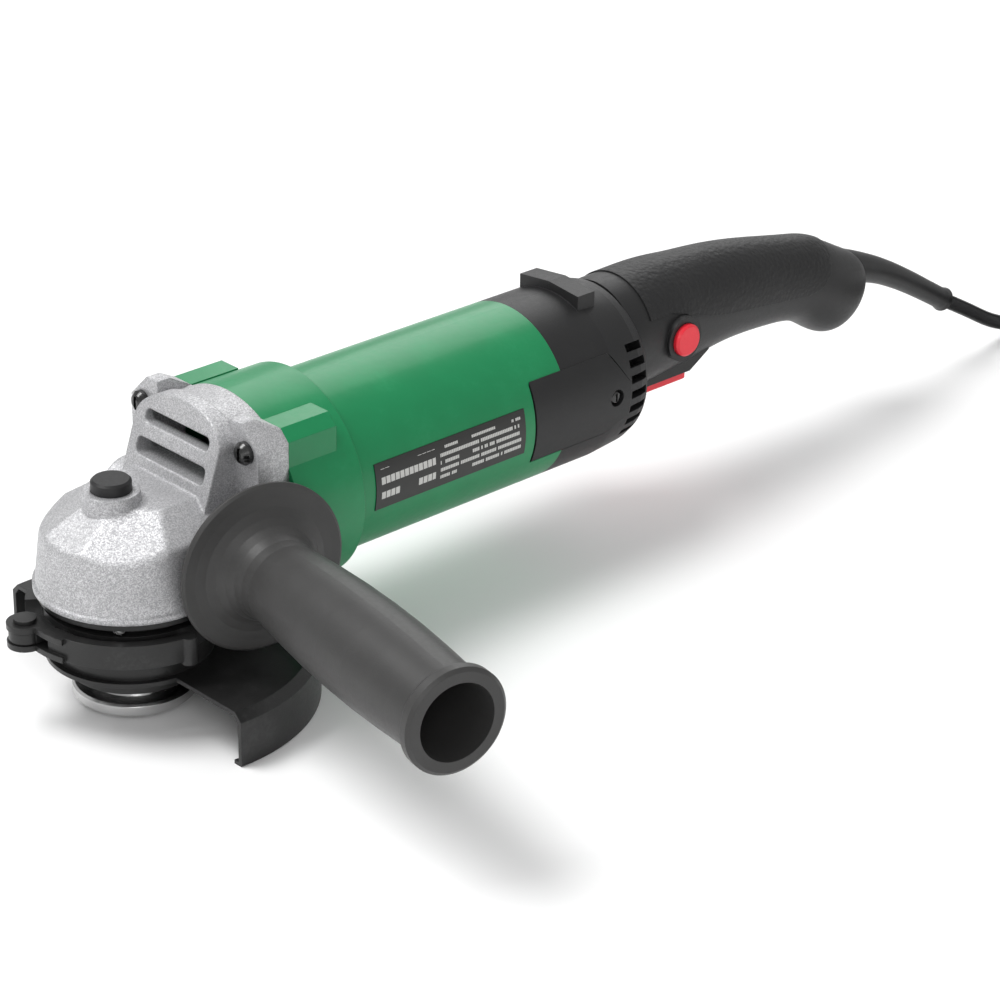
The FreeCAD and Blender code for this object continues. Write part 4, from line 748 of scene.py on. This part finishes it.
@dataclass
class StrainRelief:
    """The moulded sleeve that bends with the lead where it leaves the grip."""

    path: tuple = (
        (0.3490, 0.05990, 7.0),
        (0.3570, 0.05730, 6.7),
        (0.3660, 0.05440, 6.0),
        (0.3770, 0.05010, 5.3),
        (0.3917, 0.04250, 4.8),
        (0.4063, 0.03390, 4.5),
        (0.4190, 0.02620, 4.4),
    )
    bead_radius: float = 5.3
    bead_length: float = 3.2 * MM
    bead_start: float = 0.18
    ring_points: int = 40

    def build(self, paint: PaintShop) -> None:
        """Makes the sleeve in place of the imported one."""
        line = smooth_line([Vector((x, 0, z)) for x, z, _ in self.path], 8)
        total = line_length(line)
        sizes = []
        for i, point in enumerate(line):
            to_go = total - line_length(line[:i + 1])
            size = self.radius_at(point.x)
            if to_go < self.bead_length:
                swell = math.sin(math.pi * min(1.0, to_go / self.bead_length + self.bead_start))
                size += (self.bead_radius - size) * max(0.0, swell) ** 0.5
            sizes.append(size * MM)
        piece = skin_rings("strain_relief", swept_rings(line, circle(1.0, self.ring_points), sizes))
        paint.coat(piece, "lead_rubber")
        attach(piece, "tool_body")
        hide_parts("cord_gland")
        log.info("strain relief %.0f mm long", total / MM)

    def radius_at(self, x: float) -> float:
        """The sleeve's radius in millimetres at a place along it."""
        for (x0, _, r0), (x1, _, r1) in zip(self.path, self.path[1:]):
            if x <= x1:
                share = max(0.0, (x - x0) / (x1 - x0))
                return r0 + (r1 - r0) * share
        return self.path[-1][2]


# ---------------------------------------------------------------- studio

@dataclass
class Camera:
    """The camera in front of the spindle head, above and to the side of it."""

    azimuth: float = -43.64
    elevation: float = 26.01
    roll: float = 0.89
    lens: float = 116.11
    place: Vector = field(default_factory=lambda: Vector((-0.56542, -0.76930, 0.53378)))

    def build(self) -> None:
        """Makes the camera and has the scene use it."""
        turn, tilt, roll = (math.radians(a) for a in (self.azimuth, self.elevation, self.roll))
        right = Vector((math.cos(turn), math.sin(turn), 0))
        back = Vector((math.sin(turn) * math.cos(tilt), -math.cos(turn) * math.cos(tilt), math.sin(tilt)))
        up = back.cross(right)
        across = right * math.cos(roll) + up * math.sin(roll)
        upwards = up * math.cos(roll) - right * math.sin(roll)
        data = bpy.data.cameras.new("camera")
        data.lens = self.lens
        data.sensor_width = 36.0
        data.clip_start, data.clip_end = 0.01, 100.0
        camera = bpy.data.objects.new("camera", data)
        camera.matrix_world = Matrix((across, upwards, back)).transposed().to_4x4()
        camera.location = self.place
        bpy.context.scene.collection.objects.link(camera)
        bpy.context.scene.camera = camera


@dataclass(frozen=True)
class Softbox:
    """One rectangular studio light."""

    name: str
    place: tuple[float, float, float]
    size: tuple[float, float]
    power: float
    aim: tuple[float, float, float] = (0.16, 0.0, 0.05)

    def build(self) -> None:
        """Hangs the light and turns it to what it lights."""
        data = bpy.data.lights.new(self.name, "AREA")
        data.shape = "RECTANGLE"
        data.size, data.size_y = self.size
        data.energy = self.power
        lamp = bpy.data.objects.new(self.name, data)
        lamp.location = self.place
        lamp.rotation_mode = "QUATERNION"
        lamp.rotation_quaternion = (Vector(self.place) - Vector(self.aim)).to_track_quat("Z", "Y")
        bpy.context.scene.collection.objects.link(lamp)


@dataclass
class Studio:
    """A plain pale floor, a pale room and soft lights."""

    floor_half: float = 8.0
    floor_colour: Colour = (0.93, 0.93, 0.93)
    room_colour: Colour = (1.0, 1.0, 1.0)
    room_strength: float = 0.56
    lights: tuple[Softbox, ...] = (
        Softbox("key_light", (-0.5, 0.5, 1.5), (0.8, 0.8), 21.0),
        Softbox("front_light", (-0.9, -1.3, 0.9), (0.6, 1.0), 6.5),
        Softbox("rear_light", (1.3, 0.9, 1.1), (1.0, 1.4), 9.0),
    )

    def build(self, ground: float) -> None:
        """Lays the floor at the object's lowest point and lights the room."""
        half = self.floor_half
        mesh = bpy.data.meshes.new("studio_floor")
        corners = [(-half, -half, ground), (half, -half, ground), (half, half, ground), (-half, half, ground)]
        mesh.from_pydata(corners, [], [(0, 1, 2, 3)])
        floor = bpy.data.objects.new("studio_floor", mesh)
        bpy.context.scene.collection.objects.link(floor)
        shader = Shader("studio_paper")
        shader.set(Base_Color=(*self.floor_colour, 1), Roughness=0.8)
        mesh.materials.append(shader.material)
        floor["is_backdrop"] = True
        world = bpy.data.worlds.new("studio_room")
        world.use_nodes = True
        background = world.node_tree.nodes["Background"]
        background.inputs["Color"].default_value = (*self.room_colour, 1)
        background.inputs["Strength"].default_value = self.room_strength
        bpy.context.scene.world = world
        for light in self.lights:
            light.build()
        bpy.context.scene.view_settings.view_transform = "Standard"
        log.info("studio with %d lights", len(self.lights))


def main() -> None:
    """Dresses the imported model."""
    logging.basicConfig(level=logging.INFO, format="%(message)s")
    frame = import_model()
    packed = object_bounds()
    Camera().build()
    paint = PaintShop()
    plug = Plug().build(paint, frame)
    Lead().build(paint, plug)
    StrainRelief().build(paint)
    paint.coat_frame(frame)
    Studio().build(packed[0].z)


if __name__ == "__main__":
    main()
